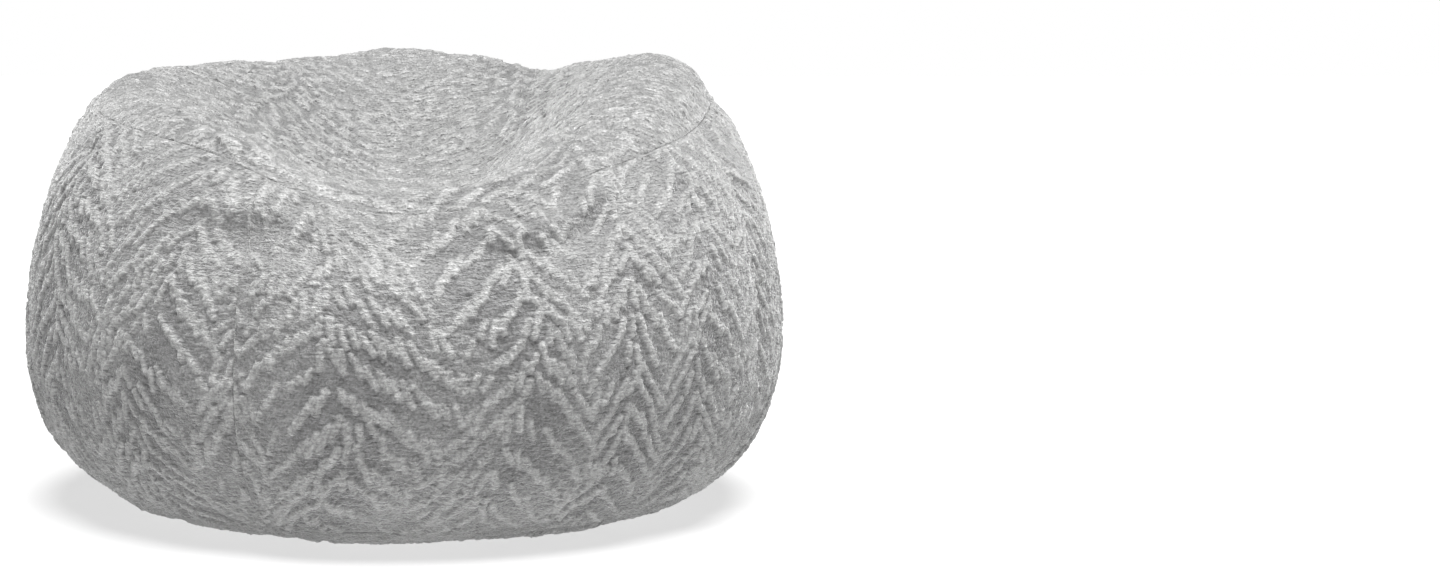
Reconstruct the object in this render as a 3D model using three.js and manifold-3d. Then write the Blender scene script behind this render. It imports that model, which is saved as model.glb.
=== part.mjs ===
// Bean bag chair: a round plush cover of six sewn panels over a zipped liner full of beads.
// Millimetres, +Z up. The origin is the centre of the flat face that it rests on, and the
// low front rim of the seat hollow faces -Y. Angles are in degrees, anticlockwise from +X.

import * as THREE from 'three';
import { mergeVertices } from 'three/addons/utils/BufferGeometryUtils.js';
import Module from 'manifold-3d';

const wasm = await Module();
wasm.setup();

// ---- The outer shape ----
const overallDiameter = 1000;
const bellyHeight = 225; // the widest ring's height
const contactDiameter = 660; // the flat face on the floor
const lowerFullness = 0.39; // how far the floor ring runs out before it turns up
const lowerRise = 0.24; // how soon the lower wall turns upright, as a share of the belly height
const wallRise = 0.55; // how far the upper wall stays upright towards the crest
const shoulderFullness = 0.5; // how far out the shoulder stays level before the crest
const crestHeights = [574, 578, 588, 578, 535, 503, 417, 496]; // from +X, every 45 degrees
const crestRadii = [340, 400, 388, 380]; // from +X, every 90 degrees
const seatHeight = 390; // the hollow's lowest point
const hollowLip = 0.6; // where the crest begins to fall, as a share of its radius
const hollowFloor = 0.45; // where the hollow levels out, as a share of the crest radius

// ---- The sewn panels ----
const discSeamDiameter = 820; // seam circle of the top and the bottom panel
const firstSideSeam = 66; // the four side seams are a quarter turn apart
const seamGap = 1;
const seamBand = 12; // half the width of a seam binding, and of a zip's tapes
const coverThickness = 6.5; // backing and mean pile
const bindingThickness = 1;
const linerThickness = 1;
const layerGap = 0.5; // between layers whose facets are parallel
const linerGap = 0.7; // between the cover's slider and the liner
const ventDiameter = 60;
const ventPlace = 210; // behind the seat's centre

// ---- The zips. Arcs are in degrees ----
const zipSlotWidth = 12;
const zipSlotEnd = 6; // past each end of the chain
const bindingEndGap = 1; // between the zip and the lower seam's binding
const fillPocketDepth = 3; // behind the liner zip's tapes
const fillPocketEdge = 2; // past them on every side
const tapeThickness = 0.5;
const coilWidth = 2.4;
const coilThickness = 2.2;
const coilSpacing = 1.6; // between the two coils, for the slider's bridge
const zipClearance = 0.3;
const sliderWidth = 9.2;
const sliderLength = 13;
const sliderPlate = 1.2;
const plateGap = 0.4; // between a slider's plates and what they slide over
const bridgeWidth = 0.9;
const bridgeLength = 3;
const stopLength = 4;
const coverZipArc = [71, 151];
const linerZipArc = [76, 146];
const garageWidth = 20;
const garageThickness = 0.8;
const garageGap = 0.4;
const garageArc = 5;
const garageOverlap = 1; // past the closed end

// ---- The slider's lock ----
const pawlWidth = 1.6;
const pawlThickness = 1;
const pawlLength = 6.2;
const pawlTail = 2.2; // behind its pivot
const pawlLift = 0.6; // above the slider
const toothLength = 1;
const toothDrop = 2.6; // below the pawl
const earThickness = 0.8;
const earLength = 3;
const earHeight = 1.8;
const toothGap = 0.5; // behind the tooth
const toothSwing = 0.8; // ahead of the tooth, as the pawl lifts

// ---- The care label ----
const labelHeight = 26;
const labelReach = 28; // outside the pile
const labelInset = 5; // held in the seam
const labelThickness = 0.4;
const labelBelowBelly = 60;

// ---- Cuts and joins ----
const cutReach = 20; // of a cutter past both faces of a cloth
const weld = 0.2; // that two joined blocks run into each other

// ---- Mesh fineness ----
const columnsPerPanel = 10; // between the seam bands
const curveSteps = 100;
const zipStep = 4; // degrees
const slopeStep = 4; // over which a surface's slope is measured
const angleStep = 0.5; // degrees

const degrees = THREE.MathUtils.degToRad;
const arcDegrees = (length, atRadius) => THREE.MathUtils.radToDeg(length / atRadius);
const mix = THREE.MathUtils.lerp;

const radius = overallDiameter / 2;
const contactRadius = contactDiameter / 2;
const discSeamRadius = discSeamDiameter / 2;

// Columns of facets are shared by every layer, with a narrow one at each side seam.
const bandAngle = arcDegrees(seamBand, (radius + discSeamRadius) / 2);
const halfGapAngle = arcDegrees(seamGap / 2, radius);
const columnAngle = (90 - 2 * bandAngle) / columnsPerPanel;

// Between layers whose facets differ: the sag of the widest facet, and a small clearance.
const facetGap = radius * (1 - Math.cos(degrees(columnAngle / 2))) + layerGap;

// Depths of the layers' outer faces below the pile. A zip's tapes lie where the bindings do.
const bindingDepth = coverThickness + facetGap;
const linerDepth = bindingDepth + tapeThickness + plateGap + sliderPlate + linerGap;
const fillDepth = linerDepth + linerThickness + layerGap;
const linerTapeDepth = linerDepth + linerThickness + facetGap;

// ---- The surface ----

// Smooth periodic interpolation of values evenly spaced around the bag.
function around(values, angle) {
  const place = THREE.MathUtils.euclideanModulo(angle / 360, 1) * values.length;
  const first = Math.floor(place);
  const t = place - first;
  const pick = (i) => values[THREE.MathUtils.euclideanModulo(first + i, values.length)];
  const [a, b, c, d] = [pick(-1), pick(0), pick(1), pick(2)];
  return b + 0.5 * t * (c - a + t * (2 * a - 5 * b + 4 * c - d + t * (3 * (b - c) + d - a)));
}

function bezier(...points) {
  const curve = new THREE.CubicBezierCurve(...points.map(([r, z]) => new THREE.Vector2(r, z)));
  return curve.getPoints(curveSteps);
}

// The section through the bag at one angle, as x = radius and y = height, measured along its
// length from the contact ring. A negative length is on the flat face below.
function meridian(angle) {
  const crestZ = around(crestHeights, angle);
  const crestR = around(crestRadii, angle);
  const lower = bezier(
    [contactRadius, 0],
    [mix(contactRadius, radius, lowerFullness), 0],
    [radius, bellyHeight * lowerRise],
    [radius, bellyHeight],
  );
  const upper = bezier(
    [radius, bellyHeight],
    [radius, mix(bellyHeight, crestZ, wallRise)],
    [mix(crestR, radius, shoulderFullness), crestZ],
    [crestR, crestZ],
  );
  const hollow = bezier(
    [crestR, crestZ],
    [crestR * hollowLip, crestZ],
    [crestR * hollowFloor, seatHeight],
    [0, seatHeight],
  );
  const points = [...lower, ...upper.slice(1), ...hollow.slice(1)];
  const lengths = [0];
  for (let i = 1; i < points.length; i += 1) {
    lengths.push(lengths[i - 1] + points[i].distanceTo(points[i - 1]));
  }
  const lengthAt = (test) => {
    const i = points.findIndex(test);
    return lengths[i];
  };
  return {
    points,
    lengths,
    pole: -contactRadius,
    contact: 0,
    lowerSeam: lengthAt((p) => p.x >= discSeamRadius),
    belly: lengths[curveSteps],
    upperSeam: lengthAt((p, i) => i > curveSteps && p.x <= discSeamRadius),
    end: lengths[lengths.length - 1],
  };
}

function alongMeridian(section, length) {
  if (length <= 0) return new THREE.Vector2(contactRadius + length, 0);
  const { points, lengths } = section;
  const last = lengths.length - 1;
  const above = lengths.findIndex((l) => l >= length);
  if (above < 0) return points[last].clone();
  const span = lengths[above] - lengths[above - 1];
  return points[above - 1].clone().lerp(points[above], (length - lengths[above - 1]) / span);
}

// A station is a place along a meridian, as a function of that meridian.
const at = (key, offset = 0) => (section) => section[key] + offset;
const between = (from, to, count) => Array.from({ length: count - 1 }, (_, i) => (section) => (
  mix(from(section), to(section), (i + 1) / count)
));

function surfacePoint(angle, station, shift = 0) {
  const section = meridian(angle);
  const flat = alongMeridian(section, station(section) + shift);
  const turn = degrees(angle);
  return new THREE.Vector3(flat.x * Math.cos(turn), flat.x * Math.sin(turn), flat.y);
}

// The point at a depth below the outer surface, measured square to it.
function pointAtDepth(angle, station, depth) {
  const point = surfacePoint(angle, station);
  const normal = new THREE.Vector3(0, 0, point.z > bellyHeight ? 1 : -1);
  if (Math.hypot(point.x, point.y) > slopeStep) {
    const along = surfacePoint(angle, station, slopeStep)
      .sub(surfacePoint(angle, station, -slopeStep));
    const across = surfacePoint(angle + angleStep, station)
      .sub(surfacePoint(angle - angleStep, station));
    normal.crossVectors(across, along).normalize();
  }
  return point.addScaledVector(normal, -depth);
}

// ---- Closed meshes ----

class Faces {
  constructor() {
    this.positions = [];
    this.triangles = [];
  }

  vertex(point) {
    this.positions.push(point.x, point.y, point.z);
    return this.positions.length / 3 - 1;
  }

  triangle(a, b, c) {
    if (a !== b && b !== c && c !== a) this.triangles.push(a, b, c);
  }

  quad(a, b, c, d) {
    this.triangle(a, b, c);
    this.triangle(a, c, d);
  }

  solid() {
    return new wasm.Manifold(new wasm.Mesh({
      numProp: 3,
      vertProperties: new Float32Array(this.positions),
      triVerts: new Uint32Array(this.triangles),
    }));
  }
}

// One grid of vertices over the surface at a depth. A station on the axis is a single vertex.
function layer(faces, columns, stations, depth) {
  return stations.map((station) => {
    const first = pointAtDepth(columns[0], station, depth);
    if (Math.hypot(first.x, first.y) < 1e-6) {
      const pole = faces.vertex(first);
      return columns.map(() => pole);
    }
    return columns.map((angle, i) => (
      faces.vertex(i === 0 ? first : pointAtDepth(angle, station, depth))
    ));
  });
}

// Both sides of a cloth are cut along the same diagonals, which keeps nested layers parallel.
function skin(faces, rows, closed, outward) {
  for (let r = 0; r + 1 < rows.length; r += 1) {
    const count = rows[r].length;
    for (let c = 0; c + (closed ? 0 : 1) < count; c += 1) {
      const next = (c + 1) % count;
      const [near, far] = [rows[r], rows[r + 1]];
      if (outward) faces.quad(near[c], near[next], far[next], far[c]);
      else faces.quad(near[c], far[c], far[next], near[next]);
    }
  }
}

// The wall that joins two edges of a shell, square to both.
function wall(faces, outer, inner, closed) {
  for (let i = 0; i + (closed ? 0 : 1) < outer.length; i += 1) {
    const next = (i + 1) % outer.length;
    if (outer[i] !== outer[next]) faces.quad(outer[i], outer[next], inner[next], inner[i]);
  }
}

// A piece of cloth between two depths: columns are angles, stations run up the meridian.
function cloth(columns, stations, outerDepth, thickness, closed) {
  const faces = new Faces();
  const outer = layer(faces, columns, stations, outerDepth);
  const inner = layer(faces, columns, stations, outerDepth + thickness);
  skin(faces, outer, closed, true);
  skin(faces, inner, closed, false);
  const last = stations.length - 1;
  wall(faces, outer[last], inner[last], closed);
  wall(faces, inner[0], outer[0], closed);
  if (!closed) {
    const end = columns.length - 1;
    wall(faces, outer.map((row) => row[0]), inner.map((row) => row[0]), false);
    wall(faces, inner.map((row) => row[end]), outer.map((row) => row[end]), false);
  }
  return faces.solid();
}

function filled(columns, stations, depth) {
  const faces = new Faces();
  skin(faces, layer(faces, columns, stations, depth), true, true);
  return faces.solid();
}

// A place on a ring about the axis: a point, the way along the meridian and the way out.
function ringFrame(key, offset, depth, angle) {
  const section = meridian(angle);
  const length = section[key] + offset;
  const origin = alongMeridian(section, length);
  const along = alongMeridian(section, length + slopeStep)
    .sub(alongMeridian(section, length - slopeStep)).normalize();
  const out = new THREE.Vector2(along.y, -along.x);
  return { origin: origin.addScaledVector(out, -depth), along, out };
}

function ringPoint(frame, u, h, angle) {
  const flat = frame.origin.clone().addScaledVector(frame.along, u).addScaledVector(frame.out, h);
  const turn = degrees(angle);
  return new THREE.Vector3(flat.x * Math.cos(turn), flat.x * Math.sin(turn), flat.y);
}

// A block bent about the axis: u runs along the meridian, h outwards, arc in degrees.
function arcBlock(frame, [u0, u1], [h0, h1], [from, to]) {
  const faces = new Faces();
  const steps = Math.max(1, Math.ceil((to - from) / zipStep));
  const corners = [[u0, h0], [u0, h1], [u1, h1], [u1, h0]];
  const rows = Array.from({ length: steps + 1 }, (_, i) => (
    corners.map(([u, h]) => faces.vertex(ringPoint(frame, u, h, mix(from, to, i / steps))))
  ));
  for (let i = 0; i < steps; i += 1) {
    for (let c = 0; c < corners.length; c += 1) {
      const next = (c + 1) % corners.length;
      faces.quad(rows[i][c], rows[i + 1][c], rows[i + 1][next], rows[i][next]);
    }
  }
  faces.quad(...rows[0]);
  faces.quad(...rows[steps].slice().reverse());
  return faces.solid();
}

function upright(diameter, height, x, y) {
  const cylinder = new THREE.CylinderGeometry(diameter / 2, diameter / 2, height, 24);
  cylinder.rotateX(Math.PI / 2);
  cylinder.translate(x, y, height / 2);
  cylinder.deleteAttribute('normal');
  cylinder.deleteAttribute('uv');
  const merged = mergeVertices(cylinder);
  const faces = new Faces();
  faces.positions = Array.from(merged.attributes.position.array);
  faces.triangles = Array.from(merged.index.array);
  return faces.solid();
}

// ---- The object's scene graph ----

const chair = new THREE.Group();

const cloths = {
  plush: { color: 0xb4b4b2, roughness: 0.95, metalness: 0 },
  binding: { color: 0x8e8f90, roughness: 0.9, metalness: 0 },
  zipCloth: { color: 0x9a9b9c, roughness: 0.85, metalness: 0 },
  coil: { color: 0xa4a5a6, roughness: 0.45, metalness: 0 },
  steel: { color: 0xb8bcc0, roughness: 0.3, metalness: 1 },
  label: { color: 0xe8e8e4, roughness: 0.8, metalness: 0 },
  liner: { color: 0xe4e4e0, roughness: 0.8, metalness: 0 },
  mesh: { color: 0xc8c8c6, roughness: 0.9, metalness: 0 },
  beads: { color: 0xf2f2ef, roughness: 0.6, metalness: 0 },
};

function place(name, solid, look) {
  const { numProp, vertProperties, triVerts } = solid.getMesh();
  const geometry = new THREE.BufferGeometry();
  const positions = new Float32Array((vertProperties.length / numProp) * 3);
  for (let i = 0; i < positions.length / 3; i += 1) {
    for (let k = 0; k < 3; k += 1) positions[3 * i + k] = vertProperties[numProp * i + k];
  }
  geometry.setAttribute('position', new THREE.BufferAttribute(positions, 3));
  geometry.setIndex(new THREE.BufferAttribute(new Uint32Array(triVerts), 1));
  geometry.computeVertexNormals();
  const mesh = new THREE.Mesh(geometry, new THREE.MeshStandardMaterial(cloths[look]));
  mesh.name = name;
  chair.add(mesh);
}

// ---- Columns and stations that every layer shares, so that their facets stay parallel ----

function panelColumns(first, edge) {
  const inner = Array.from({ length: columnsPerPanel + 1 }, (_, i) => (
    first + bandAngle + columnAngle * i
  ));
  return [first + edge, ...inner, first + 90 - edge];
}

const sideSeams = [0, 1, 2, 3].map((i) => firstSideSeam + 90 * i);
const allColumns = sideSeams.flatMap((seam) => panelColumns(seam, 0).slice(0, -1));

const bottomStations = [
  at('pole'),
  at('contact'),
  ...between(at('contact'), at('lowerSeam', -seamBand), 2),
  at('lowerSeam', -seamBand),
];
const lowerWallStations = [
  at('lowerSeam', seamBand),
  ...between(at('lowerSeam', seamBand), at('belly', -seamBand), 3),
  at('belly', -seamBand),
];
const upperWallStations = [
  at('belly', seamBand),
  ...between(at('belly', seamBand), at('upperSeam', -seamBand), 4),
  at('upperSeam', -seamBand),
];
const topStations = [
  at('upperSeam', seamBand),
  ...between(at('upperSeam', seamBand), at('end'), 8),
  at('end'),
];

// ---- The bead fill and its liner ----

const linerZip = ringFrame('belly', 0, linerTapeDepth + tapeThickness, linerZipArc[0]);
const coverZip = ringFrame('lowerSeam', 0, bindingDepth + tapeThickness, coverZipArc[0]);

const longer = ([from, to], extra) => [from - extra, to + extra];

// The cut in the cloth that a zip's coils and slider stand in.
function slot(frame, arc) {
  const ends = longer(arc, arcDegrees(zipSlotEnd, frame.origin.x));
  return arcBlock(frame, [-zipSlotWidth / 2, zipSlotWidth / 2], [-cutReach, cutReach], ends);
}

function addLiner() {
  const half = seamGap / 2;
  const layerOf = (stations) => cloth(allColumns, stations, linerDepth, linerThickness, true);
  const zipSlot = slot(linerZip, linerZipArc);
  const lower = layerOf([at('lowerSeam', half), ...lowerWallStations, at('belly', -half)]);
  const upper = layerOf([at('belly', half), ...upperWallStations, at('upperSeam', -half)]);
  const top = layerOf([at('upperSeam', half), ...topStations]);
  const tall = overallDiameter;
  place('liner_bottom_panel', layerOf([...bottomStations, at('lowerSeam', -half)]), 'liner');
  place('liner_side_lower', lower.subtract(zipSlot), 'liner');
  place('liner_side_upper', upper.subtract(zipSlot), 'liner');
  place('liner_top_panel', top.subtract(upright(ventDiameter, tall, 0, ventPlace)), 'liner');
  const vent = upright(ventDiameter - 2 * zipClearance, tall, 0, ventPlace);
  place('liner_vent_mesh', top.intersect(vent), 'mesh');
}

function addFill() {
  const stations = [
    ...bottomStations,
    at('lowerSeam'),
    ...lowerWallStations,
    at('belly'),
    ...upperWallStations,
    at('upperSeam'),
    ...topStations,
  ];
  const half = seamBand + fillPocketEdge;
  const pocketArc = longer(linerZipArc, fillPocketEdge);
  const pocket = arcBlock(linerZip, [-half, half], [-fillPocketDepth, cutReach], pocketArc);
  place('bead_fill', filled(allColumns, stations, fillDepth).subtract(pocket), 'beads');
}

// ---- The plush cover ----

function addCover() {
  const half = seamGap / 2;
  const zipSlot = slot(coverZip, coverZipArc);
  const bottom = [...bottomStations, at('lowerSeam', -half)];
  const side = [
    at('lowerSeam', half),
    ...lowerWallStations,
    ...upperWallStations,
    at('upperSeam', -half),
  ];
  const top = [at('upperSeam', half), ...topStations];
  const names = ['back', 'left', 'front', 'right'];
  const disc = cloth(allColumns, bottom, 0, coverThickness, true);
  place('cover_bottom_panel', disc.subtract(zipSlot), 'plush');
  names.forEach((name, i) => {
    const columns = panelColumns(sideSeams[i], halfGapAngle);
    const panel = cloth(columns, side, 0, coverThickness, false);
    place(`cover_side_panel_${name}`, name === 'back' ? panel.subtract(zipSlot) : panel, 'plush');
  });
  place('cover_top_panel', cloth(allColumns, top, 0, coverThickness, true), 'plush');
}

function addBindings() {
  const band = (columns, stations, closed) => (
    cloth(columns, stations, bindingDepth, bindingThickness, closed)
  );
  const across = (key) => [at(key, -seamBand), at(key), at(key, seamBand)];
  place('top_seam_binding', band(allColumns, across('upperSeam'), true), 'binding');
  const [zipStart, zipEnd] = longer(coverZipArc, bindingEndGap);
  const clearOfZip = allColumns.map((a) => THREE.MathUtils.euclideanModulo(a - zipEnd, 360))
    .filter((a) => a < 360 - (zipEnd - zipStart))
    .sort((a, b) => a - b)
    .map((a) => a + zipEnd);
  place('lower_seam_binding', band(clearOfZip, across('lowerSeam'), false), 'binding');
  const rise = [
    at('lowerSeam', seamBand + 1),
    ...lowerWallStations.slice(1),
    ...upperWallStations.slice(0, -1),
    at('upperSeam', -seamBand - 1),
  ];
  const names = ['back_right', 'back_left', 'front_left', 'front_right'];
  names.forEach((name, i) => {
    const columns = [sideSeams[i] - bandAngle, sideSeams[i], sideSeams[i] + bandAngle];
    place(`side_seam_binding_${name}`, band(columns, rise, false), 'binding');
  });
}

function addLabel() {
  const seam = sideSeams[0];
  const frame = ringFrame('belly', -labelBelowBelly, 0, seam);
  const half = arcDegrees(labelThickness / 2, radius);
  const label = arcBlock(
    frame,
    [-labelHeight / 2, labelHeight / 2],
    [-labelInset, labelReach],
    [seam - half, seam + half],
  );
  place('care_label', label, 'label');
}

// ---- Zips: h is 0 on the tapes' inner face, and u is 0 midway between the coils ----

const coilBase = tapeThickness + zipClearance;
const coilTop = coilBase + coilThickness;
const plateBase = coilTop + plateGap;
const plateTop = plateBase + sliderPlate;
const lowerPlateTop = -plateGap;

function addChain(prefix, frame, arc) {
  const edge = coilSpacing / 2;
  const coil = [edge, edge + coilWidth];
  const tape = [edge + zipClearance, seamBand];
  const ways = [['upper', 1], ['lower', -1]];
  ways.forEach(([name, way]) => {
    const flip = ([a, b]) => (way > 0 ? [a, b] : [-b, -a]);
    place(`${prefix}_zip_tape_${name}`, arcBlock(frame, flip(tape), [0, tapeThickness], arc), 'zipCloth');
    place(`${prefix}_zip_coil_${name}`, arcBlock(frame, flip(coil), [coilBase, coilTop], arc), 'coil');
  });
}

// A metal staple over both coils, just past the end of the chain.
function addStops(prefix, frame, [from, to]) {
  const long = arcDegrees(stopLength, frame.origin.x);
  const gap = arcDegrees(zipClearance, frame.origin.x);
  const width = [-sliderWidth / 2, sliderWidth / 2];
  const height = [0, coilTop];
  const closed = [from - gap - long, from - gap];
  const open = [to + gap, to + gap + long];
  place(`${prefix}_zip_stop_closed`, arcBlock(frame, width, height, closed), 'steel');
  place(`${prefix}_zip_stop_open`, arcBlock(frame, width, height, open), 'steel');
}

const sliderArc = (frame, arc) => {
  const start = arc[0] + arcDegrees(1, frame.origin.x);
  return [start, start + arcDegrees(sliderLength, frame.origin.x)];
};

// Two plates joined by a bridge between the coils, with flanges down each side.
function sliderBody(frame, arc) {
  const half = sliderWidth / 2;
  const nose = arc[0] + arcDegrees(bridgeLength, frame.origin.x);
  const flange = coilSpacing / 2 + coilWidth + plateGap;
  const flangeBase = tapeThickness + plateGap;
  const parts = [
    arcBlock(frame, [-half, half], [plateBase, plateTop], arc),
    arcBlock(frame, [-half, half], [lowerPlateTop - sliderPlate, lowerPlateTop], arc),
    arcBlock(frame, [-half, -flange], [flangeBase, plateTop], arc),
    arcBlock(frame, [flange, half], [flangeBase, plateTop], arc),
    arcBlock(
      frame,
      [-bridgeWidth / 2, bridgeWidth / 2],
      [lowerPlateTop - sliderPlate / 2, plateBase + sliderPlate / 2],
      [arc[0], nose],
    ),
  ];
  return parts.reduce((whole, part) => whole.add(part));
}

// The cover's slider has no pull: a pawl between two ears locks it until a pin lifts it.
function addLockingSlider(frame, zipArc) {
  const arc = sliderArc(frame, zipArc);
  const angleAt = (length) => arc[0] + arcDegrees(length, frame.origin.x);
  const pivot = sliderLength / 2;
  const tip = pivot + pawlLength - pawlTail;
  const ears = [angleAt(pivot - earLength / 2), angleAt(pivot + earLength / 2)];
  const earInner = pawlWidth / 2 + zipClearance;
  const earSpan = [plateTop - weld, plateTop + earHeight];
  const pawlBase = plateTop + pawlLift;
  const pawlTop = pawlBase + pawlThickness;
  const halfPawl = [-pawlWidth / 2, pawlWidth / 2];
  const halfTooth = [-bridgeWidth / 2, bridgeWidth / 2];
  const hole = arcBlock(
    frame,
    [-bridgeWidth, bridgeWidth],
    [plateBase - weld, plateTop + weld],
    [angleAt(tip - toothLength - toothGap), angleAt(tip + toothSwing)],
  );
  const body = sliderBody(frame, arc)
    .subtract(hole)
    .add(arcBlock(frame, [-earInner - earThickness, -earInner], earSpan, ears))
    .add(arcBlock(frame, [earInner, earInner + earThickness], earSpan, ears));
  const pawl = arcBlock(frame, halfPawl, [pawlBase, pawlTop], [angleAt(pivot - pawlTail), angleAt(tip)])
    .add(arcBlock(
      frame,
      halfTooth,
      [pawlBase - toothDrop, pawlBase + pawlThickness / 2],
      [angleAt(tip - toothLength), angleAt(tip)],
    ));
  place('cover_zip_slider', body, 'steel');
  place('cover_zip_lock_pawl', pawl, 'steel');
}

function addGarage(frame, [from]) {
  const half = garageWidth / 2;
  const outside = bindingDepth + tapeThickness + garageGap;
  const flap = arcBlock(
    frame,
    [-half, half],
    [outside, outside + garageThickness],
    [from - garageOverlap, from - garageOverlap + garageArc],
  );
  place('cover_zip_garage', flap, 'binding');
}

addCover();
addBindings();
addLabel();
addChain('cover', coverZip, coverZipArc);
addStops('cover', coverZip, coverZipArc);
addLockingSlider(coverZip, coverZipArc);
addGarage(coverZip, coverZipArc);
addLiner();
addChain('liner', linerZip, linerZipArc);
addStops('liner', linerZip, linerZipArc);
place('liner_zip_slider', sliderBody(linerZip, sliderArc(linerZip, linerZipArc)), 'steel');
addFill();

export default chair;
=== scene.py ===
"""Bean bag chair: a carved plush cover of six sewn panels, its lockable zip, and the liner and beads inside.

Run as a script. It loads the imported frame, makes every visible piece around it, and lists the makers
in a sidebar panel.
"""

import math

import bmesh
import bpy
import numpy as np
from bpy.props import FloatProperty, FloatVectorProperty, PointerProperty
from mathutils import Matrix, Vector, kdtree


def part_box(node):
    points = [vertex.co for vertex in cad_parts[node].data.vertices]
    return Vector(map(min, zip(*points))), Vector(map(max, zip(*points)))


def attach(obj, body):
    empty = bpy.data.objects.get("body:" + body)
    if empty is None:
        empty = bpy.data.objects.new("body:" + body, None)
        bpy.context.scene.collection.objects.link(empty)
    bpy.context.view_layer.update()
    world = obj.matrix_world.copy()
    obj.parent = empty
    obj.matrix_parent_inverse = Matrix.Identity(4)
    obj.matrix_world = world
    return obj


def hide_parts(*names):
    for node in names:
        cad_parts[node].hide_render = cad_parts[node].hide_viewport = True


bl_info = {
    "name": "Bean bag chair",
    "version": (1, 0, 0),
    "blender": (4, 5, 0),
    "location": "View3D > Sidebar > Bean bag",
    "description": "Makes the plush cover, zips, label, liner and fill of a bean bag chair",
    "category": "Add Mesh",
}

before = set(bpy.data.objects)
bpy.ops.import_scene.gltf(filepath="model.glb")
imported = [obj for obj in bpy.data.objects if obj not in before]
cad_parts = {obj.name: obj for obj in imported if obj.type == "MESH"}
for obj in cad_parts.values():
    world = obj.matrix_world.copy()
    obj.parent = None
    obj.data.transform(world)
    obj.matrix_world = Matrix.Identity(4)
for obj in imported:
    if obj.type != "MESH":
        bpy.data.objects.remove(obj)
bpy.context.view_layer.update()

# ---- The bag's form, as in the frame. Metres, and degrees anticlockwise from +X ----

RADIUS = (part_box("cover_side_panel_back")[1].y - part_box("cover_side_panel_front")[0].y) / 2
BELLY_HEIGHT = 0.225
CONTACT_RADIUS = 0.330
DISC_SEAM_RADIUS = 0.410
LOWER_FULLNESS = 0.39
LOWER_RISE = 0.24
WALL_RISE = 0.55
SHOULDER_FULLNESS = 0.5
CREST_HEIGHTS = (0.574, 0.578, 0.588, 0.578, 0.535, 0.503, 0.417, 0.496)
CREST_RADII = (0.340, 0.400, 0.388, 0.380)
SEAT_HEIGHT = 0.390
HOLLOW_LIP = 0.6
HOLLOW_FLOOR = 0.45
FIRST_SIDE_SEAM = 66.0
SIDE_NAMES = ("back", "left", "front", "right")

# ---- Layers, as depths below the cover's face ----

COVER_THICKNESS = 0.0065
BINDING_DEPTH = 0.00844
BINDING_THICKNESS = 0.001
LINER_DEPTH = 0.01124
LINER_THICKNESS = 0.001
FILL_DEPTH = 0.01274
LINER_TAPE_DEPTH = 0.01418
TAPE_THICKNESS = 0.0005
SEAM_BAND = 0.012
SEAM_GAP = 0.001
SEWN_GAP = 0.00012  # pulled tight by its stitches

# ---- Zips ----

COVER_ZIP_ARC = (71.0, 151.0)
LINER_ZIP_ARC = (76.0, 146.0)
SLOT_HALF = 0.006
COIL_SPACING = 0.0016
COIL_WIDTH = 0.0024
COIL_THICKNESS = 0.0022
ZIP_CLEARANCE = 0.0003

# ---- How finely things are made ----

FORM_ANGLES = 1440
FORM_SHARES = 900
FIELD_ANGLES = 480
FIELD_LEVELS = 400
BACKING_STRIDE = 8
RASTER_STEP = 0.00125

# ---- The cloth that swells ----

SWELL_DEPTH = 0.004  # below the face
SWELL_FRAMES = 20
SEAM_HOLD = 0.016  # how far a seam's hold reaches


# ---- Small numeric tools ----


def smooth(low, high, value):
    share = np.clip((value - low) / (high - low), 0.0, 1.0)
    return share * share * (3.0 - 2.0 * share)


def around(values, angle):
    """Smooth periodic interpolation of values evenly spaced around the bag."""
    values = np.asarray(values, float)
    place = np.mod(np.asarray(angle, float) / 360.0, 1.0) * len(values)
    first = np.floor(place).astype(int)
    t = place - first
    a, b, c, d = (values[(first + k) % len(values)] for k in (-1, 0, 1, 2))
    return b + 0.5 * t * (c - a + t * (2 * a - 5 * b + 4 * c - d + t * (3 * (b - c) + d - a)))


def periodic(table, angle):
    """Linear interpolation of one value per evenly spaced angle."""
    place = np.mod(angle / 360.0, 1.0) * len(table)
    first = np.floor(place).astype(int)
    t = place - first
    return table[first % len(table)] * (1 - t) + table[(first + 1) % len(table)] * t


def two_way(table, angle, row):
    """Bilinear sample of table[angle, row], periodic in angle. row is in table rows."""
    count, last = table.shape[0], table.shape[1] - 1
    place = np.mod(angle / 360.0, 1.0) * count
    i = np.floor(place).astype(int)
    s = place - i
    row = np.clip(row, 0.0, last)
    j = np.minimum(np.floor(row).astype(int), last - 1)
    t = row - j
    i0, i1 = i % count, (i + 1) % count
    if table.ndim == 3:
        s, t = s[..., None], t[..., None]
    return (table[i0, j] * (1 - s) + table[i1, j] * s) * (1 - t) + (
        table[i0, j + 1] * (1 - s) + table[i1, j + 1] * s
    ) * t


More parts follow.
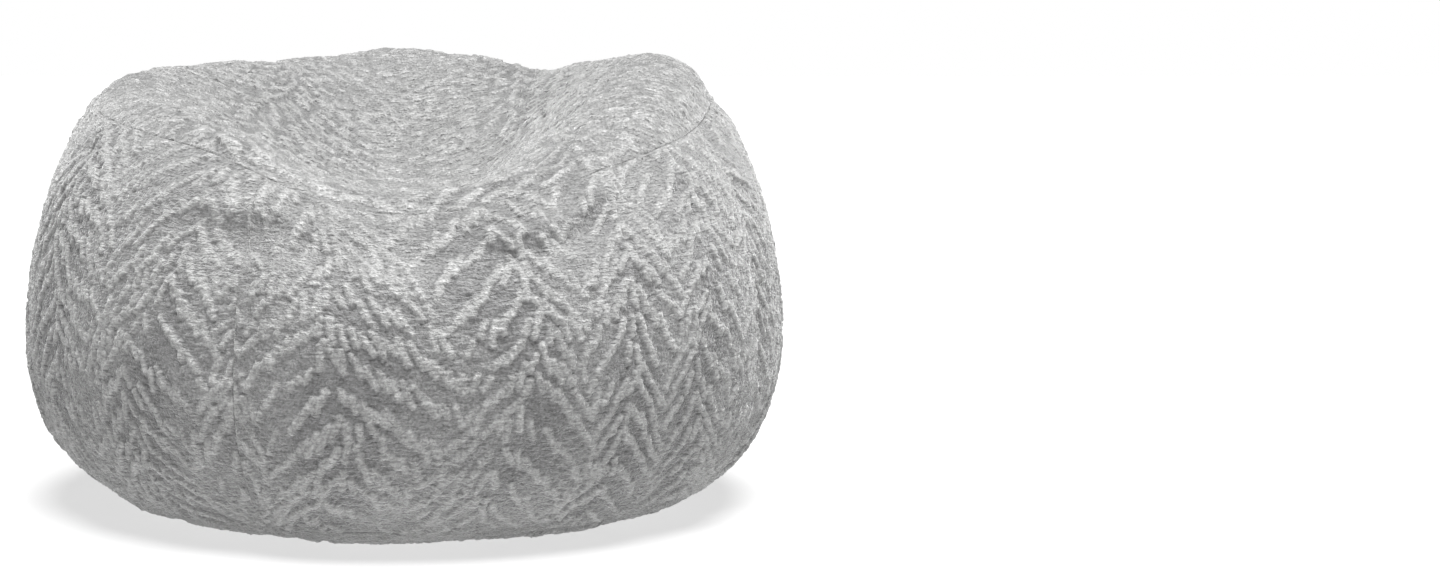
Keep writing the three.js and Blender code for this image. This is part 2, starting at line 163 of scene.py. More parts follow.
class Form:
    """The cover's outer face before its folds: sections through the bag, one for each angle."""

    def __init__(self):
        self.angles = np.arange(FORM_ANGLES) * 360.0 / FORM_ANGLES
        crest_z = around(CREST_HEIGHTS, self.angles)
        crest_r = around(CREST_RADII, self.angles)
        one = np.ones(FORM_ANGLES)
        parts = [
            [
                (CONTACT_RADIUS * one, 0 * one),
                ((CONTACT_RADIUS + (RADIUS - CONTACT_RADIUS) * LOWER_FULLNESS) * one, 0 * one),
                (RADIUS * one, BELLY_HEIGHT * LOWER_RISE * one),
                (RADIUS * one, BELLY_HEIGHT * one),
            ],
            [
                (RADIUS * one, BELLY_HEIGHT * one),
                (RADIUS * one, BELLY_HEIGHT + (crest_z - BELLY_HEIGHT) * WALL_RISE),
                (crest_r + (RADIUS - crest_r) * SHOULDER_FULLNESS, crest_z),
                (crest_r, crest_z),
            ],
            [
                (crest_r, crest_z),
                (crest_r * HOLLOW_LIP, crest_z),
                (crest_r * HOLLOW_FLOOR, SEAT_HEIGHT * one),
                (0 * one, SEAT_HEIGHT * one),
            ],
        ]
        steps = 200
        t = np.linspace(0, 1, steps + 1)
        weights = np.stack([(1 - t) ** 3, 3 * t * (1 - t) ** 2, 3 * t * t * (1 - t), t**3])
        curves = []
        for k, part in enumerate(parts):
            control = np.stack([np.stack(p, -1) for p in part], 1)
            curve = np.einsum("pt,apc->atc", weights, control)
            curves.append(curve if k == 0 else curve[:, 1:])
        flat = np.concatenate(curves, 1)
        steps_long = np.linalg.norm(np.diff(flat, axis=1), axis=2)
        lengths = np.concatenate([np.zeros((FORM_ANGLES, 1)), np.cumsum(steps_long, 1)], 1)
        self.belly = lengths[:, steps]
        self.crest = lengths[:, 2 * steps]
        self.end = lengths[:, -1]
        self.lower_seam = np.array(
            [np.interp(DISC_SEAM_RADIUS, f[: steps + 1, 0], l[: steps + 1]) for f, l in zip(flat, lengths)]
        )
        upper = slice(steps, 2 * steps + 1)
        self.upper_seam = np.array(
            [
                np.interp(-DISC_SEAM_RADIUS, -f[upper, 0], l[upper])
                if f[2 * steps, 0] < DISC_SEAM_RADIUS
                else l[2 * steps]
                for f, l in zip(flat, lengths)
            ]
        )
        shares = np.linspace(0, 1, FORM_SHARES + 1)
        self.table = np.empty((FORM_ANGLES, FORM_SHARES + 1, 2))
        for a in range(FORM_ANGLES):
            for c in (0, 1):
                self.table[a, :, c] = np.interp(shares * self.end[a], lengths[a], flat[a, :, c])
        self.field = None

    def at(self, name, angle):
        return periodic(getattr(self, name), angle)

    def bare(self, angle, length):
        """The point at a meridian length, measured from the contact ring. Negative is on the floor."""
        rows = np.maximum(length, 0) / self.at("end", angle) * FORM_SHARES
        flat = two_way(self.table, angle, rows)
        r = np.where(length < 0, CONTACT_RADIUS + length, flat[..., 0])
        z = np.where(length < 0, 0.0, flat[..., 1])
        turn = np.radians(angle)
        return np.stack([r * np.cos(turn), r * np.sin(turn), z], -1)

    def level(self, angle, length):
        """-1 at the floor's centre, 0 at the contact ring, 1 at the belly, 2 at the crest, 3 at the seat's."""
        belly, crest, end = (self.at(n, angle) for n in ("belly", "crest", "end"))
        return np.where(
            length < 0,
            length / CONTACT_RADIUS,
            np.where(
                length < belly,
                length / belly,
                np.where(
                    length < crest,
                    1 + (length - belly) / (crest - belly),
                    2 + (length - crest) / (end - crest),
                ),
            ),
        )

    def length(self, angle, level):
        belly, crest, end = (self.at(n, angle) for n in ("belly", "crest", "end"))
        return np.where(
            level < 0,
            level * CONTACT_RADIUS,
            np.where(
                level < 1,
                level * belly,
                np.where(
                    level < 2,
                    belly + (level - 1) * (crest - belly),
                    crest + (level - 2) * (end - crest),
                ),
            ),
        )

    def point(self, angle, length):
        """The point on the cover's face, with its folds."""
        angle = np.asarray(angle, float) + 0 * np.asarray(length, float)
        length = np.asarray(length, float) + 0 * angle
        place = self.bare(angle, length)
        if self.field is not None:
            rows = (self.level(angle, length) + 1) / 4 * (FIELD_LEVELS - 1)
            place = place + two_way(self.field, angle, rows)
        return place

    def inside(self, angle, length, depth):
        """The point at a depth below the face, square to it."""
        angle = np.asarray(angle, float) + 0 * np.asarray(length, float)
        length = np.asarray(length, float) + 0 * angle
        centre = self.point(angle, length)
        reach = 0.004
        end = self.at("end", angle)
        up = self.point(angle, np.minimum(length + reach, end - 1e-4))
        down = self.point(angle, np.maximum(length - reach, -CONTACT_RADIUS + 1e-4))
        along = up - down
        turn = np.radians(angle)
        sideways = np.stack([-np.sin(turn), np.cos(turn), 0 * turn], -1)
        normal = np.cross(sideways, along)
        normal /= np.maximum(np.linalg.norm(normal, axis=-1, keepdims=True), 1e-9)
        radius = np.hypot(centre[..., 0], centre[..., 1])
        pole = np.zeros_like(normal)
        pole[..., 2] = np.where(centre[..., 2] > 0.2, 1.0, -1.0)
        share = smooth(0.004, 0.03, radius)[..., None]
        normal = normal * share + pole * (1 - share)
        normal /= np.linalg.norm(normal, axis=-1, keepdims=True)
        return centre - normal * np.asarray(depth)[..., None]


form = Form()


def whole_grid(columns, rows):
    """Angles all round and levels from the floor's centre to the seat's, as arrays [column, row]."""
    angle = (np.arange(columns) * 360.0 / columns)[:, None] + np.zeros((1, rows))
    return angle, np.linspace(-1, 3, rows)[None] + np.zeros_like(angle)


def whole_faces(columns, rows):
    """The quads of such a grid, closed all round."""
    return [
        (i * rows + j, (i + 1) % columns * rows + j, (i + 1) % columns * rows + j + 1, i * rows + j + 1)
        for i in range(columns)
        for j in range(rows - 1)
    ]


# ---- Folds. Each is a line of places, how far it stands out, and how wide it is ----

# On the wall, as (angle, height) places.
WALL_FOLDS = (
    # the crease under the right of the front rim: a lapped ridge over a groove
    (((279, 0.380), (287, 0.386), (295, 0.402), (303, 0.432), (310, 0.470)), 0.0095, 0.0105),
    (((280, 0.364), (288, 0.369), (296, 0.384), (304, 0.412), (311, 0.448)), -0.0070, 0.0150),
    (((232, 0.405), (245, 0.385), (258, 0.374), (272, 0.370), (284, 0.374)), -0.0130, 0.0210),
    (((262, 0.330), (276, 0.338), (288, 0.330)), 0.0040, 0.0220),
    (((318, 0.440), (320, 0.410), (324, 0.375)), -0.0090, 0.0200),
    (((300, 0.330), (306, 0.352), (314, 0.360)), 0.0050, 0.0160),
    # small drawn-in puckers below the left of the rim
    (((200, 0.500), (204, 0.478), (209, 0.462)), -0.0080, 0.0090),
    (((205, 0.505), (209, 0.485)), 0.0050, 0.0090),
    (((214, 0.470), (220, 0.440)), -0.0050, 0.0120),
    (((176, 0.510), (178, 0.480)), -0.0060, 0.0100),
    (((338, 0.500), (340, 0.470)), -0.0060, 0.0100),
    # slack low down
    (((196, 0.170), (216, 0.140), (240, 0.130)), -0.0050, 0.0500),
    (((286, 0.130), (306, 0.150), (330, 0.135)), -0.0050, 0.0500),
    (((180, 0.330), (186, 0.200)), -0.0040, 0.0600),
    (((20, 0.320), (12, 0.180)), -0.0050, 0.0600),
    (((150, 0.480), (152, 0.350)), -0.0050, 0.0300),
    (((40, 0.480), (36, 0.350)), -0.0050, 0.0300),
)
# Over the rim and the seat, as (x, y) places seen from above.
SEAT_FOLDS = (
    # the valley that crosses the seat, and the right arm's roll beside it
    (
        ((0.235, 0.42), (0.20, 0.30), (0.145, 0.14), (0.085, -0.04), (0.05, -0.20), (0.03, -0.32)),
        -0.016,
        0.048,
    ),
    (((0.31, 0.20), (0.33, 0.08), (0.31, -0.05), (0.26, -0.16), (0.20, -0.26)), 0.008, 0.050),
    # the front rim's sharp edge
    (
        ((-0.25, -0.290), (-0.20, -0.328), (-0.12, -0.362), (0.0, -0.382), (0.10, -0.370), (0.16, -0.350)),
        0.0110,
        0.0100,
    ),
    (((0.225, -0.335), (0.165, -0.318), (0.130, -0.285)), -0.0090, 0.0110),
    (((0.245, -0.300), (0.205, -0.275), (0.160, -0.268)), 0.0070, 0.0090),
    # the left rim's long soft ridge and the slope inside it
    (((-0.345, -0.075), (-0.285, -0.165), (-0.200, -0.235), (-0.110, -0.285)), 0.0080, 0.0260),
    (((-0.300, 0.060), (-0.240, -0.060), (-0.160, -0.150)), -0.0050, 0.0400),
    # the back rim's soft lobes
    (((-0.235, 0.410), (-0.215, 0.340), (-0.180, 0.260)), -0.0070, 0.0260),
    (((-0.400, -0.020), (-0.385, 0.120), (-0.330, 0.240)), 0.0110, 0.0600),
    (((-0.120, 0.400), (0.000, 0.420), (0.130, 0.400)), 0.0060, 0.0500),
    (((0.355, 0.180), (0.375, 0.050)), -0.0060, 0.0500),
    # soft crosswise folds where the seat's cloth gathers
    (((-0.170, -0.060), (-0.080, -0.120), (0.010, -0.150)), -0.0040, 0.0150),
    (((-0.190, 0.010), (-0.100, -0.050), (0.000, -0.080)), 0.0035, 0.0140),
    (((0.160, -0.170), (0.120, -0.080), (0.130, 0.020)), 0.0045, 0.0160),
)


def seat_place(x, y):
    """The angle and level of a place on the seat, from its plan."""
    angle = math.degrees(math.atan2(y, x)) % 360
    levels = np.linspace(1.5, 3, 200)
    angles = np.full(200, angle)
    flat = form.bare(angles, form.length(angles, levels))
    r = np.hypot(flat[:, 0], flat[:, 1])
    return angle, float(np.interp(-math.hypot(x, y), -r, levels))


def taper_along(count, parts):
    along = np.linspace(0, parts, count)
    return smooth(-0.15, 0.8, np.minimum(along, parts - along))


def wall_place(angle, height):
    """The level of a place on the wall, from its height."""
    levels = np.linspace(0, 2, 240)
    angles = np.full(240, float(angle))
    z = form.bare(angles, form.length(angles, levels))[:, 2]
    return float(np.interp(height, z, levels))


def fold_line(places):
    """Points along a fold on the wall, close together, and its strength at each."""
    parts = len(places) - 1
    along = np.linspace(0, parts, 12 * parts + 1)
    angle = np.interp(along, range(parts + 1), [a for a, _ in places])
    height = np.interp(along, range(parts + 1), [z for _, z in places])
    level = np.array([wall_place(a, z) for a, z in zip(angle, height)])
    return form.bare(angle, form.length(angle, level)), taper_along(12 * parts + 1, parts)


def seat_fold_line(places):
    """The same for a fold given in plan."""
    parts = len(places) - 1
    along = np.linspace(0, parts, 12 * parts + 1)
    x = np.interp(along, range(parts + 1), [p[0] for p in places])
    y = np.interp(along, range(parts + 1), [p[1] for p in places])
    found = [seat_place(*p) for p in zip(x, y)]
    angle = np.array([f[0] for f in found])
    level = np.array([f[1] for f in found])
    return form.bare(angle, form.length(angle, level)), taper_along(12 * parts + 1, parts)


def undulation(place, size):
    """Soft lumps of settled beads, as a few crossed waves."""
    x, y, z = place[..., 0], place[..., 1], place[..., 2]
    waves = (
        (23, 11, 7, 0.3, 1.0),
        (-14, 21, 9, 1.7, 0.9),
        (9, -17, 24, 4.1, 0.9),
        (31, 19, -13, 2.2, 0.55),
        (-27, 33, 15, 5.0, 0.5),
        (38, -29, 21, 0.9, 0.35),
    )
    total = sum(g * np.sin(a * x + b * y + c * z + p) for a, b, c, p, g in waves)
    return size * total / 2.0


def quiet_at_zips(angle, level):
    """0 where the zips lie, which stay in the frame's places, rising to 1 away from them."""
    turn = np.mod(angle - 60.0, 360.0)
    near = smooth(-14, 4, turn) * (1 - smooth(98, 116, turn))
    near = np.where(turn > 330, smooth(346, 364, turn), near)
    low = smooth(-0.25, 0.0, level) * (1 - smooth(1.15, 1.5, level))
    return 1 - near * low


def make_field(size, lumps):
    """How far each place on the cover is moved by the folds, as vectors by angle and level."""
    angle, level = whole_grid(FIELD_ANGLES, FIELD_LEVELS)
    length = form.length(angle, level)
    place = form.bare(angle, length)
    outer = form.inside(angle, length, np.full(angle.shape, -1.0)) - place
    flat = place.reshape(-1, 3)
    amount = undulation(flat, lumps)
    lines = [(*fold_line(p), h, w) for p, h, w in WALL_FOLDS]
    lines += [(*seat_fold_line(p), h, w) for p, h, w in SEAT_FOLDS]
    for line, taper, height, width in lines:
        best = np.full(len(flat), 9.0)
        strength = np.zeros(len(flat))
        for point, t in zip(line, taper):
            d = np.sum((flat - point) ** 2, 1)
            nearer = d < best
            best = np.where(nearer, d, best)
            strength = np.where(nearer, t, strength)
        amount += size * height * strength * np.exp(-best / (2 * width * width))
    amount = amount.reshape(angle.shape)
    amount *= smooth(-0.05, 0.25, level)
    amount *= quiet_at_zips(angle, level)
    return outer * amount[..., None]


def tree_of(points):
    tree = kdtree.KDTree(len(points))
    for k, point in enumerate(points):
        tree.insert(point, k)
    tree.balance()
    return tree


def read_points(mesh):
    values = np.empty(len(mesh.vertices) * 3)
    mesh.vertices.foreach_get("co", values)
    return values.reshape(-1, 3)


def coarse_cover(mesh_size):
    """An even coarse copy of the whole cover, as one closed skin."""
    columns, rows = 150, 110
    angle, level = whole_grid(columns, rows)
    start = form.inside(angle, form.length(angle, level), np.full(angle.shape, SWELL_DEPTH)).reshape(-1, 3)
    mesh = bpy.data.meshes.new("swelling_cover")
    mesh.from_pydata([tuple(v) for v in start], [], whole_faces(columns, rows))
    bag = bpy.data.objects.new("swelling_cover", mesh)
    bpy.context.scene.collection.objects.link(bag)
    weld(bag, 0.001)
    bpy.ops.object.select_all(action="DESELECT")
    bag.select_set(True)
    bpy.context.view_layer.objects.active = bag
    remesh = bag.modifiers.new("even", "REMESH")
    remesh.mode = "VOXEL"
    remesh.voxel_size = mesh_size
    bpy.ops.object.modifier_apply(modifier="even")
    return bag


def sewn_share(points):
    """How firmly each point is held: at the seams, on the floor and around the cover's zip."""
    tree = tree_of(seam_points())
    away = np.array([tree.find(p)[2] for p in points])
    sewn = np.exp(-((away / SEAM_HOLD) ** 2))
    sewn = np.maximum(sewn, 1 - smooth(0.004, 0.03, points[:, 2]))
    turn = np.mod(np.degrees(np.arctan2(points[:, 1], points[:, 0])) - 60.0, 360.0)
    behind = smooth(-8, 2, turn) * (1 - smooth(98, 108, turn)) * (1 - smooth(0.30, 0.36, points[:, 2]))
    return np.maximum(sewn, behind)


def swollen(bag, settings):
    """Runs the cloth on the coarse cover and returns where its points end."""
    modifier = bag.modifiers.new("cloth", "CLOTH")
    cloth = modifier.settings
    cloth.quality = 5
    cloth.mass = 0.3
    cloth.tension_stiffness = cloth.compression_stiffness = 12
    cloth.shear_stiffness = 4
    cloth.bending_stiffness = 0.3
    cloth.use_pressure = True
    cloth.uniform_pressure_force = settings.pressure
    cloth.shrink_min = -settings.spare_cloth
    cloth.vertex_group_mass = "sewn"
    cloth.effector_weights.gravity = 0
    modifier.collision_settings.use_collision = False
    scene = bpy.context.scene
    modifier.point_cache.frame_start, modifier.point_cache.frame_end = 1, SWELL_FRAMES
    for number in range(1, SWELL_FRAMES + 1):
        scene.frame_set(number)
    ends = read_points(bag.evaluated_get(bpy.context.evaluated_depsgraph_get()).data)
    scene.frame_set(1)
    return ends


def spread(points, moved):
    """What moved, sampled over the whole field's grid and smoothed once."""
    tree = tree_of(points)
    columns, rows = FIELD_ANGLES // 2, FIELD_LEVELS // 2
    angle, level = whole_grid(columns, rows)
    place = form.inside(angle, form.length(angle, level), np.full(angle.shape, SWELL_DEPTH)).reshape(-1, 3)
    coarse = np.empty_like(place)
    for k, point in enumerate(place):
        near = tree.find_n(point, 4)
        weights = np.array([1 / (d + 0.002) ** 2 for _, _, d in near])
        coarse[k] = weights @ moved[[i for _, i, _ in near]] / weights.sum()
    coarse = coarse.reshape(columns, rows, 3)
    for axis, wrapped in ((0, True), (1, False)):
        back, ahead = np.roll(coarse, 1, axis), np.roll(coarse, -1, axis)
        if not wrapped:
            back[:, 0], ahead[:, -1] = coarse[:, 0], coarse[:, -1]
        coarse = (back + 2 * coarse + ahead) / 4
    angle, level = whole_grid(FIELD_ANGLES, FIELD_LEVELS)
    fine = two_way(coarse, angle, (level + 1) / 4 * (rows - 1))
    return fine * (smooth(-0.02, 0.2, level) * quiet_at_zips(angle, level))[..., None]


def inflate(settings):
    """Lets a coarse copy of the cover swell between its seams as cloth, and adds what moved to the field."""
    bag = coarse_cover(settings.swell_mesh)
    before = read_points(bag.data)
    held = bag.vertex_groups.new(name="sewn")
    for k, weight in enumerate(sewn_share(before)):
        if weight > 0.02:
            held.add([k], float(weight), "REPLACE")
    moved = swollen(bag, settings) - before
    bpy.data.objects.remove(bag)
    size = np.linalg.norm(moved, axis=1, keepdims=True)
    limit = settings.swell_limit
    moved *= np.where(size > 1e-9, limit * np.tanh(size / limit) / np.maximum(size, 1e-9), 1.0)
    form.field = form.field + spread(before, moved)


def seam_points():
    """Points along every sewn line of the cover."""
    turn = np.arange(0, 360, 0.5)
    lines = [form.point(turn, form.at(name, turn)) for name in ("lower_seam", "upper_seam")]
    for k in range(4):
        angle = np.full(120, FIRST_SIDE_SEAM + 90.0 * k)
        low, high = form.at("lower_seam", angle), form.at("upper_seam", angle)
        lines.append(form.point(angle, low + (high - low) * np.linspace(0, 1, 120)))
    return np.concatenate(lines)


# ---- Meshes ----


def new_piece(name, verts, faces, material, smooth_shading=True):
    mesh = bpy.data.meshes.new(name)
    mesh.from_pydata([tuple(v) for v in verts], [], faces)
    mesh.update()
    piece = bpy.data.objects.new(name, mesh)
    bpy.context.scene.collection.objects.link(piece)
    mesh.materials.append(material)
    if smooth_shading:
        mesh.polygons.foreach_set("use_smooth", np.ones(len(mesh.polygons), bool))
    return piece


def add_uv(mesh, name, values):
    layer = mesh.uv_layers.new(name=name)
    layer.data.foreach_set("uv", np.asarray(values, np.float32).ravel())
    return layer


def grid_faces(rows, columns, first=0, flip=False):
    """Quads of a grid whose vertices run along columns fastest."""
    i, j = np.meshgrid(np.arange(rows - 1), np.arange(columns - 1), indexing="ij")
    a = first + i * columns + j
    quads = np.stack([a, a + columns, a + columns + 1, a + 1], -1).reshape(-1, 4)
    return quads[:, ::-1] if flip else quads


def edge_loop(rows, columns):
    """The grid's border vertices, anticlockwise from outside for unflipped faces."""
    index = np.arange(rows * columns).reshape(rows, columns)
    return np.concatenate([index[:-1, 0], index[-1, :-1], index[:0:-1, -1], index[0, :0:-1]])


def quilted_panel(name, face, normal, lift, pile, nap, cloth, backing, material, flip):
    """A closed panel: a fine carved face, a plain backing behind it, and the turned edge between.

    All arrays run [row, column]. lift is how far each face vertex stands off the surface.
    """
    rows, columns = pile.shape
    stride = BACKING_STRIDE
    front = (face + normal * lift[..., None]).reshape(-1, 3)
    behind = (face - normal * backing[..., None])[::stride, ::stride]
    b_rows, b_columns = behind.shape[:2]
    first = len(front)
    outer = grid_faces(rows, columns, 0, flip)
    inner = grid_faces(b_rows, b_columns, first, not flip)
    loop = edge_loop(rows, columns)
    b_loop = edge_loop(b_rows, b_columns) + first
    count = len(b_loop)
    rim = []
    rim_inner = []
    for k in range(count):
        a, b = b_loop[k], b_loop[(k + 1) % count]
        run = [loop[(k * stride + m) % len(loop)] for m in range(stride + 1)]
        middle = stride // 2
        for m in range(stride):
            corner, near = (a, run[0]) if m < middle else (b, run[stride])
            rim.append((run[m + 1], run[m], corner))
            rim_inner.append(near)
        rim.append((run[middle], a, b))
        rim_inner.append(-1)
    rim = np.array(rim)
    if flip:
        rim = rim[:, ::-1]
    verts = np.concatenate([front, behind.reshape(-1, 3)])
    quads = np.concatenate([outer, inner])
    mesh = bpy.data.meshes.new(name)
    mesh.vertices.add(len(verts))
    mesh.vertices.foreach_set("co", verts.astype(np.float32).ravel())
    loops = np.concatenate([quads.ravel(), rim.ravel()])
    mesh.loops.add(len(loops))
    mesh.loops.foreach_set("vertex_index", loops.astype(np.int32))
    starts = np.concatenate([np.arange(len(quads)) * 4, len(quads) * 4 + np.arange(len(rim)) * 3])
    mesh.polygons.add(len(starts))
    mesh.polygons.foreach_set("loop_start", starts.astype(np.int32))
    mesh.polygons.foreach_set("use_smooth", np.ones(len(starts), bool))
    mesh.update(calc_edges=True)
    cloth_all = np.concatenate([cloth.reshape(-1, 2), cloth[::stride, ::stride].reshape(-1, 2)])
    add_uv(mesh, "cloth", cloth_all[loops])
    add_uv(mesh, "OFBake", bake_places(rows, columns, b_rows, b_columns, quads, rim, len(front)))
    whole = np.zeros(len(verts))
    for label, values in (("pile", pile), ("nap", nap)):
        whole[: len(front)] = values.ravel()
        # The backing and turned edge take a fixed pile of 0.35, which gives them part of the painted recess shade.
        whole[len(front) :] = 0.35
        mesh.attributes.new(label, "FLOAT", "POINT").data.foreach_set("value", whole.astype(np.float32))
    if not mesh.validate():
        mesh.update()
    piece = bpy.data.objects.new(name, mesh)
    bpy.context.scene.collection.objects.link(piece)
    mesh.materials.append(material)
    return piece


def bake_places(rows, columns, b_rows, b_columns, quads, rim, first):
    """A flat map of the panel: the face over most of it, the backing in a strip, the rim between."""
    i, j = np.meshgrid(np.arange(rows), np.arange(columns), indexing="ij")
    x = 0.02 + 0.96 * i / (rows - 1)
    y = 0.02 + 0.86 * j / (columns - 1)
    front = np.stack([x, y], -1).reshape(-1, 2)
    i, j = np.meshgrid(np.arange(b_rows), np.arange(b_columns), indexing="ij")
    behind = np.stack([0.02 + 0.96 * i / (b_rows - 1), 0.92 + 0.07 * j / (b_columns - 1)], -1)
    places = np.concatenate([front, behind.reshape(-1, 2)])
    values = places[quads.ravel()]
    corners = rim.ravel()
    back = corners >= first
    stretched = places[corners].copy()
    centre = np.array([0.5, 0.45])
    owner = np.where(back, corners - first, 0)
    bi, bj = owner // b_columns, owner % b_columns
    near = np.stack([0.02 + 0.96 * bi / (b_rows - 1), 0.02 + 0.86 * bj / (b_columns - 1)], -1)
    pushed = near + np.sign(near - centre) * 0.008 * (np.abs(near - centre) > [0.475, 0.425])
    stretched[back] = pushed[back]
    return np.concatenate([values, stretched])


def closed_strip(name, front, behind, material, cloth=None, ring=False):
    """A closed thin piece from two grids of the same size, face outward."""
    rows, columns = front.shape[:2]
    total = rows * columns
    verts = np.concatenate([front.reshape(-1, 3), behind.reshape(-1, 3)])
    faces = []

    def index(i, j):
        return (i % rows) * columns + j

    for i in range(rows if ring else rows - 1):
        for j in range(columns - 1):
            a, b, c, d = index(i, j), index(i + 1, j), index(i + 1, j + 1), index(i, j + 1)
            faces.append((a, b, c, d))
            faces.append((a + total, d + total, c + total, b + total))
        for j, turn in ((0, False), (columns - 1, True)):
            a, b = index(i, j), index(i + 1, j)
            side = (a, a + total, b + total, b)
            faces.append(side[::-1] if turn else side)
    if not ring:
        for j in range(columns - 1):
            for i, turn in ((0, True), (rows - 1, False)):
                a, b = index(i, j), index(i, j + 1)
                side = (a, a + total, b + total, b)
                faces.append(side[::-1] if turn else side)
    piece = new_piece(name, verts, faces, material)
    if cloth is not None:
        both = np.concatenate([cloth.reshape(-1, 2), cloth.reshape(-1, 2)])
        index = np.empty(len(piece.data.loops), np.int32)
        piece.data.loops.foreach_get("vertex_index", index)
        add_uv(piece.data, "cloth", both[index])
    sharpen(piece, 50)
    return piece


def sharpen(piece, angle):
    bpy.ops.object.select_all(action="DESELECT")
    piece.select_set(True)
    bpy.context.view_layer.objects.active = piece
    bpy.ops.object.shade_smooth_by_angle(angle=math.radians(angle))
    piece.select_set(False)


# ---- The carved pile ----


def zigzag(place, period, share, rise):
    """Height of the strokes' path: it climbs over share of the period and falls over the rest, rounded."""
    t = np.mod(place / period, 1.0)
    climb = t / share
    fall = (1 - t) / (1 - share)
    line = np.minimum(climb, fall)
    soft = 0.10
    rounded = np.where(line > 1 - soft, 1 - soft / 2 - (1 - line) ** 2 / (2 * soft), line)
    rounded = np.where(line < soft / 2, soft / 4 + line**2 / soft, rounded)
    return rise * rounded


class Carving:
    """A sheet of carved pile, as heights and nap tones on a fine raster in cloth metres."""

    def __init__(self, low, high, settings, seed):
        self.low = np.array(low, float)
        self.shape = tuple(int(math.ceil((h - l) / RASTER_STEP)) + 1 for l, h in zip(low, high))
        self.high = self.low + (np.array(self.shape) - 1) * RASTER_STEP
        self.pile = np.zeros(self.shape)
        self.nap = np.full(self.shape, 0.5)
        self.chance = np.random.default_rng(seed)
        self.settings = settings

    def stroke(self, x, y, angle, half, wide, tall, bend):
        """One raised tuft line with round ends, bent a little and uneven along its length."""
        reach = half + wide
        i0 = max(0, int((x - reach - self.low[0]) / RASTER_STEP))
        i1 = min(self.shape[0], int((x + reach - self.low[0]) / RASTER_STEP) + 2)
        j0 = max(0, int((y - reach - self.low[1]) / RASTER_STEP))
        j1 = min(self.shape[1], int((y + reach - self.low[1]) / RASTER_STEP) + 2)
        if i0 >= i1 or j0 >= j1:
            return
        u = self.low[0] + np.arange(i0, i1)[:, None] * RASTER_STEP - x
        v = self.low[1] + np.arange(j0, j1)[None] * RASTER_STEP - y
        along = u * math.cos(angle) + v * math.sin(angle)
        across = v * math.cos(angle) - u * math.sin(angle) + bend * (along**2 - half * half / 3)
        past = np.maximum(np.abs(along) - half, 0)
        phase = self.chance.uniform(0, 6.28)
        local = wide * (1 + 0.10 * np.sin(along * 420 + phase) + 0.06 * np.sin(along * 870 + 2 * phase))
        e = np.hypot(past, across) / local
        height = tall * np.maximum(1 - e**3.2, 0) ** 0.5
        part = self.pile[i0:i1, j0:j1]
        wins = height > part
        part[wins] = height[wins]
        tone = self.chance.uniform(0.2, 0.8)
        self.nap[i0:i1, j0:j1][wins] = tone

    def chevrons(self, period, chain, spacing, pitch, tilt, turn=0.0, ground=0.0):
        """Rows of strokes side by side, climbing then falling by the chain slope, each stroke at its own tilt.

        Between the peaks the base is fuller by the ground share, so that the strokes sink into it.
        """
        s = self.settings
        centre = (self.low + self.high) / 2
        half = (self.high - self.low) / 2 + 0.03
        size = float(np.linalg.norm(half))
        cos, sin = math.cos(turn), math.sin(turn)
        drift = self.chance.uniform(0, 6.28, 4)
        rise = math.tan(chain) * period / 2

        def shift(p, q):
            return (
                0.016 * np.sin(p * 7 + q * 6 + drift[0])
                + 0.020 * np.sin(q * 11 - p * 6 + drift[1])
                + 0.012 * np.sin(q * 23 + p * 14 + drift[3])
                + 0.018 * np.sin(p * 11 + drift[2])
            )

        rows = int((2 * size + rise) / spacing) + 1
        for k in range(rows):
            q0 = -size - rise + k * spacing
            p = -size + self.chance.uniform(0, pitch)
            while p < size:
                place = p + shift(p, q0)
                q = q0 + float(zigzag(place, period, 0.5, rise)) + self.chance.normal(0, spacing * 0.14)
                x, y = p * cos - q * sin, p * sin + q * cos
                worn = 0.5 + 0.3 * math.sin(p * 31 + q * 12 + drift[1])
                worn += 0.3 * math.sin(q * 27 - p * 19 + drift[2])
                missing = self.chance.uniform() < 0.28 * float(smooth(0.55, 1.0, worn))
                if abs(x) < half[0] and abs(y) < half[1] and not missing:
                    t = (place / period) % 1.0
                    limb = 1 - abs(2 * t - 1)
                    steep = tilt + (math.radians(84) - tilt) * 0.7 * float(smooth(0.8, 1.0, limb))
                    angle = steep if t < 0.5 else math.pi - steep
                    angle += turn + self.chance.normal(0, 0.19)
                    length = s.stroke_length * self.chance.uniform(0.72, 1.2)
                    wide = s.stroke_width / 2 * self.chance.uniform(0.86, 1.14)
                    tall = self.chance.uniform(0.78, 1.0)
                    bend = self.chance.normal(0, 3.0)
                    self.stroke(centre[0] + x, centre[1] + y, angle, length / 2 - wide, wide, tall, bend)
                p += pitch * self.chance.uniform(0.86, 1.14)
        if ground > 0:
            x = (self.low[0] - centre[0] + np.arange(self.shape[0]) * RASTER_STEP)[:, None]
            y = (self.low[1] - centre[1] + np.arange(self.shape[1]) * RASTER_STEP)[None]
            p, q = x * cos + y * sin, y * cos - x * sin
            t = np.mod((p + shift(p, q)) / period, 1.0)
            limb = 1 - np.abs(2 * t - 1)
            broad = 0.5 + 0.25 * np.sin(p * 12.1 + q * 4.7 + drift[3])
            broad = broad + 0.25 * np.sin(q * 9.3 - p * 15.7 + drift[0])
            floor = ground * (0.1 + 0.9 * (1 - smooth(0.25, 0.85, limb + 0.9 * (broad - 0.5))))
            self.pile = np.maximum(self.pile, floor)

    def fuzz(self):
        """Uneven fibres over strokes and base alike."""
        fine = blur(blur(self.chance.normal(0, 1, self.shape), 0, 2), 1, 1)
        fine /= fine.std()
        coarse = blur(blur(self.chance.normal(0, 1, self.shape), 0, 9), 1, 9)
        coarse /= coarse.std()
        self.height = self.pile + 0.15 * fine + 0.06 * coarse
        self.nap = blur(blur(self.nap, 0, 2), 1, 2)

